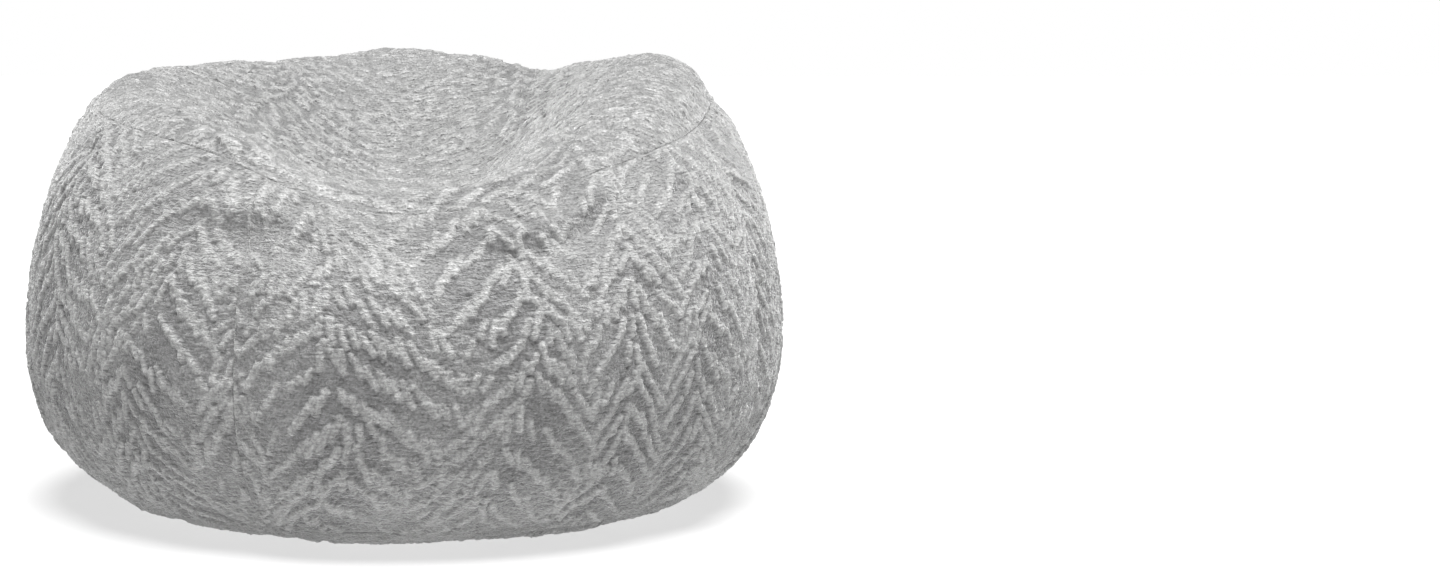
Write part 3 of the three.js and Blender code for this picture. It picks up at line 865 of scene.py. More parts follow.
    def read(self, cloth, what):
        """The raster's value at places in cloth metres."""
        at = (cloth - self.low) / RASTER_STEP
        i = np.clip(np.floor(at[..., 0]).astype(int), 0, self.shape[0] - 2)
        j = np.clip(np.floor(at[..., 1]).astype(int), 0, self.shape[1] - 2)
        s = np.clip(at[..., 0] - i, 0, 1)
        t = np.clip(at[..., 1] - j, 0, 1)
        return (
            what[i, j] * (1 - s) * (1 - t)
            + what[i + 1, j] * s * (1 - t)
            + what[i, j + 1] * (1 - s) * t
            + what[i + 1, j + 1] * s * t
        )


def blur(values, axis, width):
    """A box average, wrapped at the raster's edges."""
    total = values.copy()
    for k in range(1, width + 1):
        total = total + np.roll(values, k, axis) + np.roll(values, -k, axis)
    return total / (2 * width + 1)


# ---- Shader groups ----


def group(name, inputs, outputs):
    tree = bpy.data.node_groups.new(name, "ShaderNodeTree")
    for label, kind, value in inputs:
        socket = tree.interface.new_socket(name=label, in_out="INPUT", socket_type=kind)
        if value is not None:
            socket.default_value = value
    for label, kind in outputs:
        tree.interface.new_socket(name=label, in_out="OUTPUT", socket_type=kind)
    return tree, tree.nodes.new("NodeGroupInput"), tree.nodes.new("NodeGroupOutput")


def link(tree, a, b):
    tree.links.new(a, b)


def put(tree, kind, **values):
    node = tree.nodes.new(kind)
    for key, value in values.items():
        setattr(node, key, value)
    return node


def maths(tree, operation, a, b=None, clamp=False):
    node = put(tree, "ShaderNodeMath", operation=operation, use_clamp=clamp)
    for socket, value in zip(node.inputs, (a, b)):
        if value is None:
            continue
        if isinstance(value, (int, float)):
            socket.default_value = value
        else:
            link(tree, value, socket)
    return node.outputs[0]


def blended(tree, factor, a, b, mode="MIX"):
    node = put(tree, "ShaderNodeMix", data_type="RGBA", blend_type=mode)
    for socket, value in zip((node.inputs[0], node.inputs[6], node.inputs[7]), (factor, a, b)):
        if isinstance(value, (int, float)):
            socket.default_value = value
        elif isinstance(value, tuple):
            socket.default_value = (*value, 1.0)[:4]
        else:
            link(tree, value, socket)
    return node.outputs[2]


def fibre_group():
    """Fine combed fibres, stretched along X: Height for a bump, Shade for the colour. Loops are rounder."""
    tree, given, out = group(
        "combed_fibres",
        [("Place", "NodeSocketVector", None), ("Along", "NodeSocketFloat", 75.0), ("Across", "NodeSocketFloat", 330.0)],
        [("Height", "NodeSocketFloat"), ("Shade", "NodeSocketFloat"), ("Loops", "NodeSocketFloat")],
    )
    scale = put(tree, "ShaderNodeCombineXYZ")
    link(tree, given.outputs["Along"], scale.inputs[0])
    link(tree, given.outputs["Across"], scale.inputs[1])
    link(tree, given.outputs["Across"], scale.inputs[2])
    stretched = put(tree, "ShaderNodeVectorMath", operation="MULTIPLY")
    link(tree, given.outputs["Place"], stretched.inputs[0])
    link(tree, scale.outputs[0], stretched.inputs[1])
    noise = put(tree, "ShaderNodeTexNoise")
    noise.inputs["Scale"].default_value = 1.0
    noise.inputs["Detail"].default_value = 3.0
    noise.inputs["Roughness"].default_value = 0.65
    noise.inputs["Distortion"].default_value = 0.6
    link(tree, stretched.outputs[0], noise.inputs["Vector"])
    link(tree, noise.outputs[0], out.inputs["Height"])
    broad = put(tree, "ShaderNodeTexNoise")
    broad.inputs["Scale"].default_value = 55.0
    broad.inputs["Detail"].default_value = 2.0
    link(tree, given.outputs["Place"], broad.inputs["Vector"])
    # Shade: painted shade that follows the fibres' height, with random tone from the broad noise.
    sharp = maths(tree, "MULTIPLY", noise.outputs[0], 0.7)
    link(tree, maths(tree, "ADD", sharp, maths(tree, "MULTIPLY", broad.outputs[0], 0.3)), out.inputs["Shade"])
    loops = put(tree, "ShaderNodeTexNoise")
    loops.inputs["Scale"].default_value = 300.0
    loops.inputs["Detail"].default_value = 1.5
    loops.inputs["Distortion"].default_value = 0.4
    link(tree, given.outputs["Place"], loops.inputs["Vector"])
    link(tree, loops.outputs[0], out.inputs["Loops"])
    return tree


def weave_group():
    """Plain woven cloth: threads over and under, as Height and Shade."""
    tree, given, out = group(
        "plain_weave",
        [("Place", "NodeSocketVector", None), ("Threads", "NodeSocketFloat", 900.0)],
        [("Height", "NodeSocketFloat"), ("Shade", "NodeSocketFloat")],
    )
    scaled = put(tree, "ShaderNodeVectorMath", operation="SCALE")
    link(tree, given.outputs["Place"], scaled.inputs[0])
    link(tree, given.outputs["Threads"], scaled.inputs["Scale"])
    split = put(tree, "ShaderNodeSeparateXYZ")
    link(tree, scaled.outputs[0], split.inputs[0])
    warp = maths(tree, "SINE", maths(tree, "MULTIPLY", split.outputs[0], 3.14159))
    weft = maths(tree, "SINE", maths(tree, "MULTIPLY", split.outputs[1], 3.14159))
    crossed = maths(tree, "MULTIPLY", warp, weft)
    height = maths(tree, "MULTIPLY", maths(tree, "ADD", crossed, 1.0), 0.5)
    link(tree, height, out.inputs["Height"])
    noise = put(tree, "ShaderNodeTexNoise")
    noise.inputs["Scale"].default_value = 0.35
    noise.inputs["Detail"].default_value = 3.0
    link(tree, scaled.outputs[0], noise.inputs["Vector"])
    soft = maths(tree, "MULTIPLY", noise.outputs[0], 0.5)
    # Shade: half painted shade that follows the threads' height, half random tone.
    link(tree, maths(tree, "ADD", maths(tree, "MULTIPLY", height, 0.5), soft), out.inputs["Shade"])
    return tree


def wear_group():
    """Slow smudges and fine scratches, for metal and moulded parts."""
    tree, given, out = group(
        "handled_wear",
        [("Place", "NodeSocketVector", None), ("Scale", "NodeSocketFloat", 300.0)],
        [("Mask", "NodeSocketFloat"), ("Scratch", "NodeSocketFloat")],
    )
    smudge = put(tree, "ShaderNodeTexNoise")
    smudge.inputs["Detail"].default_value = 4.0
    link(tree, given.outputs["Place"], smudge.inputs["Vector"])
    link(tree, given.outputs["Scale"], smudge.inputs["Scale"])
    link(tree, smudge.outputs[0], out.inputs["Mask"])
    fine = put(tree, "ShaderNodeTexNoise")
    fine.inputs["Detail"].default_value = 2.0
    link(tree, given.outputs["Place"], fine.inputs["Vector"])
    link(tree, maths(tree, "MULTIPLY", given.outputs["Scale"], 9.0), fine.inputs["Scale"])
    link(tree, fine.outputs[0], out.inputs["Scratch"])
    return tree


# ---- Materials ----


def bare_material(name, roughness, metallic=0.0):
    material = bpy.data.materials.new(name)
    material.use_nodes = True
    tree = material.node_tree
    shader = tree.nodes["Principled BSDF"]
    shader.inputs["Roughness"].default_value = roughness
    shader.inputs["Metallic"].default_value = metallic
    return material, tree, shader


def ranged(tree, value, source, target):
    """The value, taken from one range to another and held inside it."""
    node = put(tree, "ShaderNodeMapRange")
    for socket, bound in zip(("From Min", "From Max", "To Min", "To Max"), (*source, *target)):
        node.inputs[socket].default_value = bound
    link(tree, value, node.inputs["Value"])
    return node.outputs[0]


def grouped(tree, name, **values):
    node = put(tree, "ShaderNodeGroup")
    node.node_tree = bpy.data.node_groups[name]
    for key, value in values.items():
        node.inputs[key].default_value = value
    return node


def bumped(tree, shader, height, strength, distance):
    bump = put(tree, "ShaderNodeBump")
    bump.inputs["Strength"].default_value = strength
    bump.inputs["Distance"].default_value = distance
    link(tree, height, bump.inputs["Height"])
    link(tree, bump.outputs[0], shader.inputs["Normal"])


def cloth_uv(tree):
    return put(tree, "ShaderNodeUVMap", uv_map="cloth").outputs[0]


def own_place(tree):
    return put(tree, "ShaderNodeTexCoord").outputs["Object"]


def toned(colour, factor):
    return tuple(min(1.0, c * factor) for c in colour)


def plush_material(colours):
    """Carved velvet-like pile: light combed tops, painted shade darkening the recesses between strokes and the low
    fibres and loops, soft sheen at grazing edges.
    """
    material, tree, shader = bare_material("carved_plush", 0.92)
    pile = put(tree, "ShaderNodeAttribute", attribute_name="pile")
    nap = put(tree, "ShaderNodeAttribute", attribute_name="nap")
    fibres = grouped(tree, "combed_fibres")
    link(tree, cloth_uv(tree), fibres.inputs["Place"])
    top = tuple(colours.plush)
    base = tuple(colours.plush_base)
    # Painted shade: the colour runs from the recess shade colour where the carved pile is low to the top colour where
    # it stands high.
    colour = blended(tree, ranged(tree, pile.outputs["Fac"], (0.05, 0.85), (0.0, 1.0)), base, top)
    # Painted shade on the fibre streaks: mostly the same noise as the bump's height, so low fibres are darker, with
    # some random tone from the broad noise.
    shade = ranged(tree, fibres.outputs["Shade"], (0.3, 0.7), (0.60, 1.34))
    tone = ranged(tree, nap.outputs["Fac"], (0.0, 1.0), (0.92, 1.08))
    # Painted shade on the loops: the loop noise also raises the bump, so the low parts of the loops are darker.
    curl = ranged(tree, fibres.outputs["Loops"], (0.36, 0.64), (0.80, 1.15))
    both = maths(tree, "MULTIPLY", maths(tree, "MULTIPLY", shade, tone), curl)
    grey = put(tree, "ShaderNodeCombineColor")
    for k in range(3):
        link(tree, both, grey.inputs[k])
    colour = blended(tree, 1.0, colour, grey.outputs[0], "MULTIPLY")
    link(tree, colour, shader.inputs["Base Color"])
    shader.inputs["Sheen Weight"].default_value = 1.0
    shader.inputs["Sheen Roughness"].default_value = 0.30
    shader.inputs["Specular IOR Level"].default_value = 0.15
    loops = maths(tree, "MULTIPLY", fibres.outputs["Loops"], 0.8)
    relief = maths(tree, "ADD", fibres.outputs["Height"], loops)
    bumped(tree, shader, relief, 1.0, 0.0036)
    return material


def woven_material(name, colour, threads, roughness=0.85, sheen=0.1, depth=0.0002):
    material, tree, shader = bare_material(name, roughness)
    weave = grouped(tree, "plain_weave", Threads=threads)
    link(tree, cloth_uv(tree), weave.inputs["Place"])
    # Painted shade: the colour is darker where the threads dip under, mixed with random tone from the weave's noise.
    tones = blended(tree, weave.outputs["Shade"], toned(colour, 0.72), toned(colour, 1.15))
    link(tree, tones, shader.inputs["Base Color"])
    shader.inputs["Sheen Weight"].default_value = sheen
    shader.inputs["Specular IOR Level"].default_value = 0.25
    bumped(tree, shader, weave.outputs["Height"], 0.6, depth)
    return material


def moulded_material(name, colour, roughness, metallic, scale):
    material, tree, shader = bare_material(name, roughness, metallic)
    wear = grouped(tree, "handled_wear", Scale=scale)
    link(tree, own_place(tree), wear.inputs["Place"])
    tones = blended(tree, wear.outputs["Mask"], toned(colour, 0.8), toned(colour, 1.1))
    link(tree, tones, shader.inputs["Base Color"])
    bounds = (max(0.05, roughness - 0.12), min(1.0, roughness + 0.15))
    rough = ranged(tree, wear.outputs["Mask"], (0.0, 1.0), bounds)
    link(tree, rough, shader.inputs["Roughness"])
    bumped(tree, shader, wear.outputs["Scratch"], 0.15, 0.00005)
    return material


def bead_material(colour):
    """Expanded beads packed together: a cell for each bead, with painted shade darkening each bead towards the gaps
    where beads meet.
    """
    material, tree, shader = bare_material("packed_beads", 0.6)
    cells = put(tree, "ShaderNodeTexVoronoi")
    cells.inputs["Scale"].default_value = 240.0
    link(tree, own_place(tree), cells.inputs["Vector"])
    # Painted shade: each bead's colour darkens towards its cell's edge, the low gap between beads.
    tones = blended(tree, cells.outputs["Distance"], toned(colour, 1.0), toned(colour, 0.55))
    link(tree, tones, shader.inputs["Base Color"])
    inverse = maths(tree, "SUBTRACT", 1.0, cells.outputs["Distance"])
    bumped(tree, shader, inverse, 0.8, 0.0015)
    return material


def air_mesh_material(colour):
    """Open warp-knit mesh: small round holes in rows, painted near black as the shade seen through them."""
    material, tree, shader = bare_material("air_mesh", 0.8)
    weave = grouped(tree, "plain_weave", Threads=420.0)
    link(tree, cloth_uv(tree), weave.inputs["Place"])
    holes = put(tree, "ShaderNodeMapRange")
    holes.inputs["From Min"].default_value = 0.12
    holes.inputs["From Max"].default_value = 0.3
    link(tree, weave.outputs["Height"], holes.inputs["Value"])
    # Painted shade: the holes take a near-black colour that stands in for the dark seen through them.
    tones = blended(tree, holes.outputs[0], toned(colour, 0.12), colour)
    link(tree, tones, shader.inputs["Base Color"])
    bumped(tree, shader, holes.outputs[0], 0.7, 0.0004)
    return material


MATERIALS = {}


def material_for(slot):
    return MATERIALS[slot]


def make_materials(colours):
    fibre_group()
    weave_group()
    wear_group()
    MATERIALS["plush"] = plush_material(colours)
    MATERIALS["binding"] = woven_material("binding_tape", tuple(colours.binding), 1100.0)
    MATERIALS["zip_cloth"] = woven_material("zip_tape", tuple(colours.zip_cloth), 2200.0, 0.8)
    MATERIALS["liner"] = woven_material("liner_cloth", tuple(colours.liner), 1600.0, 0.8, 0.05)
    MATERIALS["label"] = woven_material("label_satin", (0.80, 0.80, 0.77), 4200.0, 0.55, 0.2, 0.00006)
    MATERIALS["coil"] = moulded_material("nylon_coil", tuple(colours.zip_cloth), 0.42, 0.0, 500.0)
    MATERIALS["steel"] = moulded_material("plated_steel", (0.60, 0.61, 0.63), 0.32, 1.0, 380.0)
    MATERIALS["beads"] = bead_material((0.88, 0.88, 0.86))
    MATERIALS["mesh"] = air_mesh_material((0.72, 0.72, 0.71))
    MATERIALS["thread"] = woven_material("sewing_thread", (0.50, 0.50, 0.50), 3000.0, 0.6, 0.2)


def finish_piece(piece, body="bag", stands_for=()):
    """Settles what a piece rides on and what it stands for."""
    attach(piece, body)
    if stands_for:
        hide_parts(*stands_for)
    return piece


# ---- Settings ----


def plain_setting(name, about, value):
    return FloatProperty(name=name, description=about, default=value)


def length_setting(name, about, metres):
    return FloatProperty(name=name, description=about, default=metres, unit="LENGTH")


def colour_setting(name, about, colour):
    return FloatVectorProperty(name=name, description=about, subtype="COLOR", default=colour)


class CoverSettings(bpy.types.PropertyGroup):
    fold_size: FloatProperty(
        name="Fold size",
        description="How far the folds and rolls stand out, against their usual depth",
        default=1.0,
        min=0.0,
        max=2.0,
    )
    lump_depth: length_setting("Lump depth", "Half height of the soft lumps of settled beads", 0.0035)
    pile_height: length_setting("Pile height", "How far the carved strokes stand above the base", 0.0038)
    stroke_width: length_setting("Stroke width", "Width of one carved stroke", 0.0101)
    stroke_length: length_setting("Stroke length", "Mean length of one carved stroke", 0.034)
    seam_tuck: length_setting("Seam tuck", "How far the cloth is drawn in at a seam", 0.0008)
    face_step: length_setting("Face step", "Spacing of the vertices on the carved face", 0.0021)
    pressure: plain_setting(
        "Fill pressure", "Pressure that the cloth simulation inflates the cover with", 4.0
    )
    spare_cloth: plain_setting(
        "Spare cloth", "How much larger the cloth is than the form it covers, as a share", 0.03
    )
    swell_mesh: length_setting("Swell mesh", "Size of the coarse mesh that swells", 0.013)
    swell_limit: length_setting("Swell limit", "The furthest a point may move in the cloth simulation", 0.010)


class ColourSettings(bpy.types.PropertyGroup):
    plush: colour_setting("Plush", "Colour of the pile's tops", (0.435, 0.435, 0.432))
    # Painted shade: the darker colour given to the recesses between the carved strokes.
    plush_base: colour_setting(
        "Plush base", "Colour of the painted shade between strokes", (0.265, 0.265, 0.265)
    )
    binding: colour_setting("Binding", "Colour of the seam bindings and the zip garage", (0.27, 0.275, 0.28))
    zip_cloth: colour_setting("Zip", "Colour of the zip's tapes and coils", (0.32, 0.325, 0.33))
    liner: colour_setting("Liner", "Colour of the inner bag", (0.77, 0.77, 0.74))


class ZipSettings(bpy.types.PropertyGroup):
    coil_pitch: length_setting("Coil pitch", "Length of zip that one turn of its coil takes", 0.0021)
    stitch_length: length_setting("Stitch length", "Length of one stitch on the tapes", 0.0026)


class StageSettings(bpy.types.PropertyGroup):
    camera_rise: FloatProperty(
        name="Camera rise",
        description="The camera's angle above level",
        default=math.radians(6.2),
        subtype="ANGLE",
    )
    camera_distance: length_setting("Camera distance", "From the camera to the bag's middle", 3.2)
    lens: plain_setting("Lens", "Focal length on a 36 mm sensor, in millimetres", 58.5)
    top_light: plain_setting("Top light", "Strength of the very soft light overhead", 7.2)
    front_light: plain_setting("Front light", "Power of the faint soft light in front, in watts", 0.6)
    surround: plain_setting("Surround", "How much light comes from all round", 0.06)


# ---- The cover ----


def square_to_disc(a, b):
    """Concentric map of the square -1..1 to the unit disc, as a radius and an angle in degrees."""
    wide = np.abs(a) > np.abs(b)
    radius = np.where(wide, a, b)
    safe_a = np.where(np.abs(a) < 1e-12, 1e-12, a)
    safe_b = np.where(np.abs(b) < 1e-12, 1e-12, b)
    turn = np.where(wide, 45.0 * b / safe_a, 90.0 - 45.0 * a / safe_b)
    turn = np.where(radius < 0, turn + 180.0, turn)
    return np.abs(radius), turn


def setback(angle, arc, half=SLOT_HALF, ramp=1.4):
    """How far a panel's edge stands back from the seam line: half the gap, and more along a zip."""
    turn = np.mod(angle, 360.0)
    past = smooth(arc[1] + 0.9, arc[1] + 1.2 + ramp, turn)
    open_share = smooth(arc[0] - 1.2 - ramp, arc[0] - 0.9, turn) * (1 - past)
    return SEWN_GAP / 2 + open_share * (half - SEWN_GAP / 2)


def surface_normals(face, flip):
    along = np.gradient(face, axis=0)
    across = np.gradient(face, axis=1)
    normal = np.cross(along, across)
    if flip:
        normal = -normal
    length = np.linalg.norm(normal, axis=2, keepdims=True)
    return normal / np.maximum(length, 1e-12)


def steps_for(size, step):
    return BACKING_STRIDE * max(2, int(round(size / step / BACKING_STRIDE)))


def carved_panel(name, angle, length, cloth, edge, carving, settings, flip, zip_edge=None):
    """Lifts a panel's grid into carved pile, drawn in at its sewn edges."""
    face = form.point(angle, length)
    normal = surface_normals(face, flip)
    height = carving.read(cloth, carving.height)
    pile = carving.read(cloth, carving.pile)
    nap = carving.read(cloth, carving.nap)
    cropped = smooth(-0.001, 0.003, edge)
    tuck = settings.seam_tuck * np.exp(-((edge / 0.0016) ** 1.2))
    if zip_edge is not None:
        tuck = tuck * (1 - 0.55 * zip_edge)
    tuck = np.minimum(tuck, COVER_THICKNESS - 0.0016)
    mean = 0.45 * settings.pile_height
    lift = (height * settings.pile_height - mean) * cropped - tuck
    contact = face[..., 2] + normal[..., 2] * lift
    lift = np.where(contact < 0.0004, lift + (0.0004 - contact) / np.minimum(normal[..., 2], -0.35), lift)
    lift = np.maximum(lift, -(COVER_THICKNESS - 0.0016))
    backing = np.full(lift.shape, COVER_THICKNESS)
    return quilted_panel(
        name,
        face,
        normal,
        lift,
        # Near the sewn edges the pile value is held at 0.55 or more, so the painted recess shade stays light at the
        # seams.
        np.clip(np.maximum(pile, 0.55 * (1 - cropped)), 0, 1),
        nap,
        cloth,
        backing,
        material_for("plush"),
        flip,
    )


def side_panel(name, first, settings, seed):
    """One of the four wall panels, from the lower seam to the upper seam."""
    gap = math.degrees(SEWN_GAP / 2 / RADIUS)
    wide = RADIUS * math.pi / 2
    tall = float(np.mean(form.upper_seam - form.lower_seam))
    columns = steps_for(wide, settings.face_step) + 1
    rows = steps_for(tall, settings.face_step) + 1
    angle = np.linspace(first + gap, first + 90 - gap, columns)[:, None] + np.zeros((1, rows))
    share = np.linspace(0, 1, rows)[None] + np.zeros((columns, 1))
    low = form.at("lower_seam", angle) + setback(angle, COVER_ZIP_ARC)
    high = form.at("upper_seam", angle) - SEWN_GAP / 2
    length = low + share * (high - low)
    bare = form.bare(angle, length)
    r = np.hypot(bare[..., 0], bare[..., 1])
    u = np.radians(angle - first - 45) * r
    middle = form.at("belly", angle)
    v = length - middle
    cloth = np.stack([u, v], -1)
    sideways = np.radians(np.minimum(angle - first, first + 90 - angle)) * r
    edge = np.minimum(np.minimum(sideways, length - low), high - length)
    carving = Carving((-0.42, -0.33), (0.42, 0.46), settings, seed)
    carving.chevrons(0.165, math.radians(44), 0.0365, 0.0142, math.radians(62), ground=0.30)
    carving.fuzz()
    zip_edge = (length - low < 0.02) * (setback(angle, COVER_ZIP_ARC) - SEWN_GAP / 2) / SLOT_HALF
    piece = carved_panel(name + "_plush", angle, length, cloth, edge, carving, settings, False, zip_edge)
    return finish_piece(piece, stands_for=[name])


def disc_panel(name, top, settings, seed):
    """The round panel at the top, with the seat hollow, or the one underneath."""
    seam = form.upper_seam if top else form.lower_seam
    size = float(np.mean(form.end - seam)) if top else CONTACT_RADIUS + float(np.mean(seam))
    count = steps_for(2 * size, settings.face_step * (1.1 if top else 1.4)) + 1
    a, b = np.meshgrid(np.linspace(-1, 1, count), np.linspace(-1, 1, count), indexing="ij")
    share, angle = square_to_disc(a, b)
    if top:
        end = form.at("end", angle)
        outer = end - form.at("upper_seam", angle) - SEWN_GAP / 2
        length = end - share * outer
    else:
        outer = CONTACT_RADIUS + form.at("lower_seam", angle) - setback(angle, COVER_ZIP_ARC)
        length = share * outer - CONTACT_RADIUS
    turn = np.radians(angle)
    spread = share * outer
    cloth = np.stack([spread * np.cos(turn), spread * np.sin(turn)], -1)
    edge = (1 - share) * outer
    reach = size + 0.03
    carving = Carving((-reach, -reach), (reach, reach), settings, seed)
    if top:
        carving.chevrons(0.42, math.radians(14), 0.0128, 0.039, math.radians(15), ground=0.35)
        carving.nap = 0.5 + 3.0 * (carving.nap - 0.5)
    else:
        carving.chevrons(0.30, math.radians(26), 0.0150, 0.041, math.radians(28), math.radians(4), ground=0.45)
    carving.fuzz()
    zip_edge = None
    if not top:
        zip_edge = (edge < 0.02) * (setback(angle, COVER_ZIP_ARC) - SEWN_GAP / 2) / SLOT_HALF
    piece = carved_panel(name + "_plush", angle, length, cloth, edge, carving, settings, not top, zip_edge)
    return finish_piece(piece, stands_for=[name])


class BEANBAG_OT_cover(bpy.types.Operator):
    """Make the six carved plush panels"""

    bl_idname = "beanbag.cover"
    bl_label = "Plush cover"

    def execute(self, context):
        settings = context.scene.beanbag_cover
        form.field = make_field(settings.fold_size, settings.lump_depth)
        inflate(settings)
        for k, side in enumerate(SIDE_NAMES):
            side_panel(f"cover_side_panel_{side}", FIRST_SIDE_SEAM + 90 * k, settings, 11 + k)
        disc_panel("cover_top_panel", True, settings, 31)
        disc_panel("cover_bottom_panel", False, settings, 32)
        return {"FINISHED"}


# ---- Layers under the cover ----


def ring_layer(name, first, last, low, high, depth, thickness, material, steps, ring, ruffle=0.0003):
    """A band of cloth around the bag between two meridian lengths, which may vary with the angle."""
    around_steps, along_steps = steps
    angle = np.linspace(first, last, around_steps + 1)
    if ring:
        angle = angle[:-1]
    angle = angle[:, None] + np.zeros((1, along_steps + 1))
    share = np.linspace(0, 1, along_steps + 1)[None] + np.zeros_like(angle)
    length = low(angle) + share * (high(angle) - low(angle))
    wave = np.sin(np.radians(angle) * 190 + 3 * np.sin(length * 70))
    uneven = ruffle * wave * quiet_at_zips(angle, form.level(angle, length))
    front = form.inside(angle, length, depth + uneven)
    behind = form.inside(angle, length, depth + thickness + uneven)
    r = np.hypot(front[..., 0], front[..., 1])
    cloth = np.stack([np.radians(angle) * np.mean(r), length], -1)
    return closed_strip(name, front, behind, material, cloth, ring)


def disc_layer(name, top, depth, thickness, material, count, seam_gap=SEAM_GAP / 2):
    """A round panel of cloth, up to its seam."""
    a, b = np.meshgrid(np.linspace(-1, 1, count), np.linspace(-1, 1, count), indexing="ij")
    share, angle = square_to_disc(a, b)
    if top:
        end = form.at("end", angle)
        outer = end - form.at("upper_seam", angle) - seam_gap
        length = end - share * outer
    else:
        outer = CONTACT_RADIUS + form.at("lower_seam", angle) - seam_gap
        length = share * outer - CONTACT_RADIUS
    front = form.inside(angle, length, np.full(angle.shape, depth))
    behind = form.inside(angle, length, np.full(angle.shape, depth + thickness))
    turn = np.radians(angle)
    cloth = np.stack([share * outer * np.cos(turn), share * outer * np.sin(turn)], -1)
    if not top:
        front, behind, cloth = front[::-1], behind[::-1], cloth[::-1]
    return closed_strip(name, front, behind, material, cloth)


def seam_length(name, offset):
    return lambda angle: form.at(name, angle) + offset


class BEANBAG_OT_seam_bindings(bpy.types.Operator):
    """Make the bindings over the cut edges inside the cover's seams"""

    bl_idname = "beanbag.seam_bindings"
    bl_label = "Seam bindings"

    def execute(self, context):
        cloth = material_for("binding")
        depth, thick = BINDING_DEPTH, BINDING_THICKNESS
        across = 10
        ring = ring_layer(
            "top_seam_binding_tape", 0, 360, seam_length("upper_seam", -SEAM_BAND), seam_length("upper_seam", SEAM_BAND),
            depth, thick, cloth, (720, across), True,
        )
        finish_piece(ring, stands_for=["top_seam_binding"])
        lower = ring_layer(
            "lower_seam_binding_tape", COVER_ZIP_ARC[1] + 1, COVER_ZIP_ARC[0] + 359,
            seam_length("lower_seam", -SEAM_BAND), seam_length("lower_seam", SEAM_BAND), depth, thick, cloth, (560, across), False,
        )
        finish_piece(lower, stands_for=["lower_seam_binding"])
        half = math.degrees(SEAM_BAND / ((RADIUS + DISC_SEAM_RADIUS) / 2))
        for k, corner in enumerate(("back_right", "back_left", "front_left", "front_right")):
            seam = FIRST_SIDE_SEAM + 90 * k
            name = f"side_seam_binding_{corner}"
            band = ring_layer(
                name + "_tape", seam - half, seam + half,
                seam_length("lower_seam", SEAM_BAND + 0.001), seam_length("upper_seam", -SEAM_BAND - 0.001),
                depth, thick, cloth, (across, 160), False,
            )
            finish_piece(band, stands_for=[name])
        return {"FINISHED"}


class BEANBAG_OT_liner(bpy.types.Operator):
    """Make the inner bag that holds the beads, and its vent"""

    bl_idname = "beanbag.liner"
    bl_label = "Liner"

    def execute(self, context):
        cloth = material_for("liner")
        depth, thick, gap = LINER_DEPTH, LINER_THICKNESS, SEAM_GAP / 2

        def zip_gap(angle):
            return setback(angle, LINER_ZIP_ARC)

        bottom = disc_layer("liner_bottom_panel_cloth", False, depth, thick, cloth, 97)
        finish_piece(bottom, stands_for=["liner_bottom_panel"])
        lower = ring_layer(
            "liner_side_lower_cloth", 0, 360, seam_length("lower_seam", gap), lambda a: form.at("belly", a) - zip_gap(a),
            depth, thick, cloth, (480, 28), True,
        )
        finish_piece(lower, stands_for=["liner_side_lower"])
        upper = ring_layer(
            "liner_side_upper_cloth", 0, 360, lambda a: form.at("belly", a) + zip_gap(a), seam_length("upper_seam", -gap),
            depth, thick, cloth, (480, 36), True,
        )
        finish_piece(upper, stands_for=["liner_side_upper"])
        top = disc_layer("liner_top_panel_cloth", True, depth, thick, cloth, 121)
        cut_vent(top)
        finish_piece(top, stands_for=["liner_top_panel"])
        vent = vent_mesh(material_for("mesh"))
        finish_piece(vent, stands_for=["liner_vent_mesh"])
        return {"FINISHED"}


VENT_PLACE = 0.210
VENT_RADIUS = 0.030


def cut_vent(panel):
    """Cuts the round hole behind the seat's centre."""
    bpy.ops.object.select_all(action="DESELECT")
    bpy.ops.mesh.primitive_cylinder_add(vertices=64, radius=VENT_RADIUS, depth=0.4, location=(0, VENT_PLACE, 0.5))
    cutter = bpy.context.object
    modifier = panel.modifiers.new("vent", "BOOLEAN")
    modifier.operation = "DIFFERENCE"
    modifier.object = cutter
    modifier.solver = "EXACT"
    bpy.context.view_layer.objects.active = panel
    bpy.ops.object.modifier_apply(modifier="vent")
    bpy.data.objects.remove(cutter)


def vent_mesh(material):
    """The disc of mesh cloth that fills the hole."""
    a, b = np.meshgrid(np.linspace(-1, 1, 25), np.linspace(-1, 1, 25), indexing="ij")
    share, turn = square_to_disc(a, b)
    reach = VENT_RADIUS - 0.0003
    x = share * reach * np.cos(np.radians(turn))
    y = share * reach * np.sin(np.radians(turn))
    found = np.array([seat_place(p, q + VENT_PLACE) for p, q in zip(x.ravel(), y.ravel())])
    angle, level = found[:, 0].reshape(x.shape), found[:, 1].reshape(x.shape)
    length = form.length(angle, level)
    front = form.inside(angle, length, np.full(x.shape, LINER_DEPTH))
    behind = form.inside(angle, length, np.full(x.shape, LINER_DEPTH + LINER_THICKNESS))
    return closed_strip("liner_vent_mesh_cloth", front, behind, material, np.stack([x, y], -1))


class BEANBAG_OT_bead_fill(bpy.types.Operator):
    """Make the settled mass of beads"""

    bl_idname = "beanbag.bead_fill"
    bl_label = "Bead fill"

    def execute(self, context):
        columns, rows = 300, 190
        angle, level = whole_grid(columns, rows)
        length = form.length(angle, level)
        turn = np.mod(angle, 360)
        first, last = LINER_ZIP_ARC
        pocket = smooth(first - 4, first - 1.5, turn) * (1 - smooth(last + 1.5, last + 4, turn))
        pocket = pocket * (1 - smooth(0.014, 0.024, np.abs(length - form.at("belly", angle))))
        grains = 0.0004 * (1 + np.sin(angle * 9.7 + 3 * np.sin(level * 41)) * np.sin(level * 160 + angle * 3.1))
        place = form.inside(angle, length, FILL_DEPTH + grains + 0.0062 * pocket)
        piece = new_piece("bead_fill_mass", place.reshape(-1, 3), whole_faces(columns, rows), material_for("beads"))
        weld(piece, 0.0004)
        finish_piece(piece, stands_for=["bead_fill"])
        return {"FINISHED"}


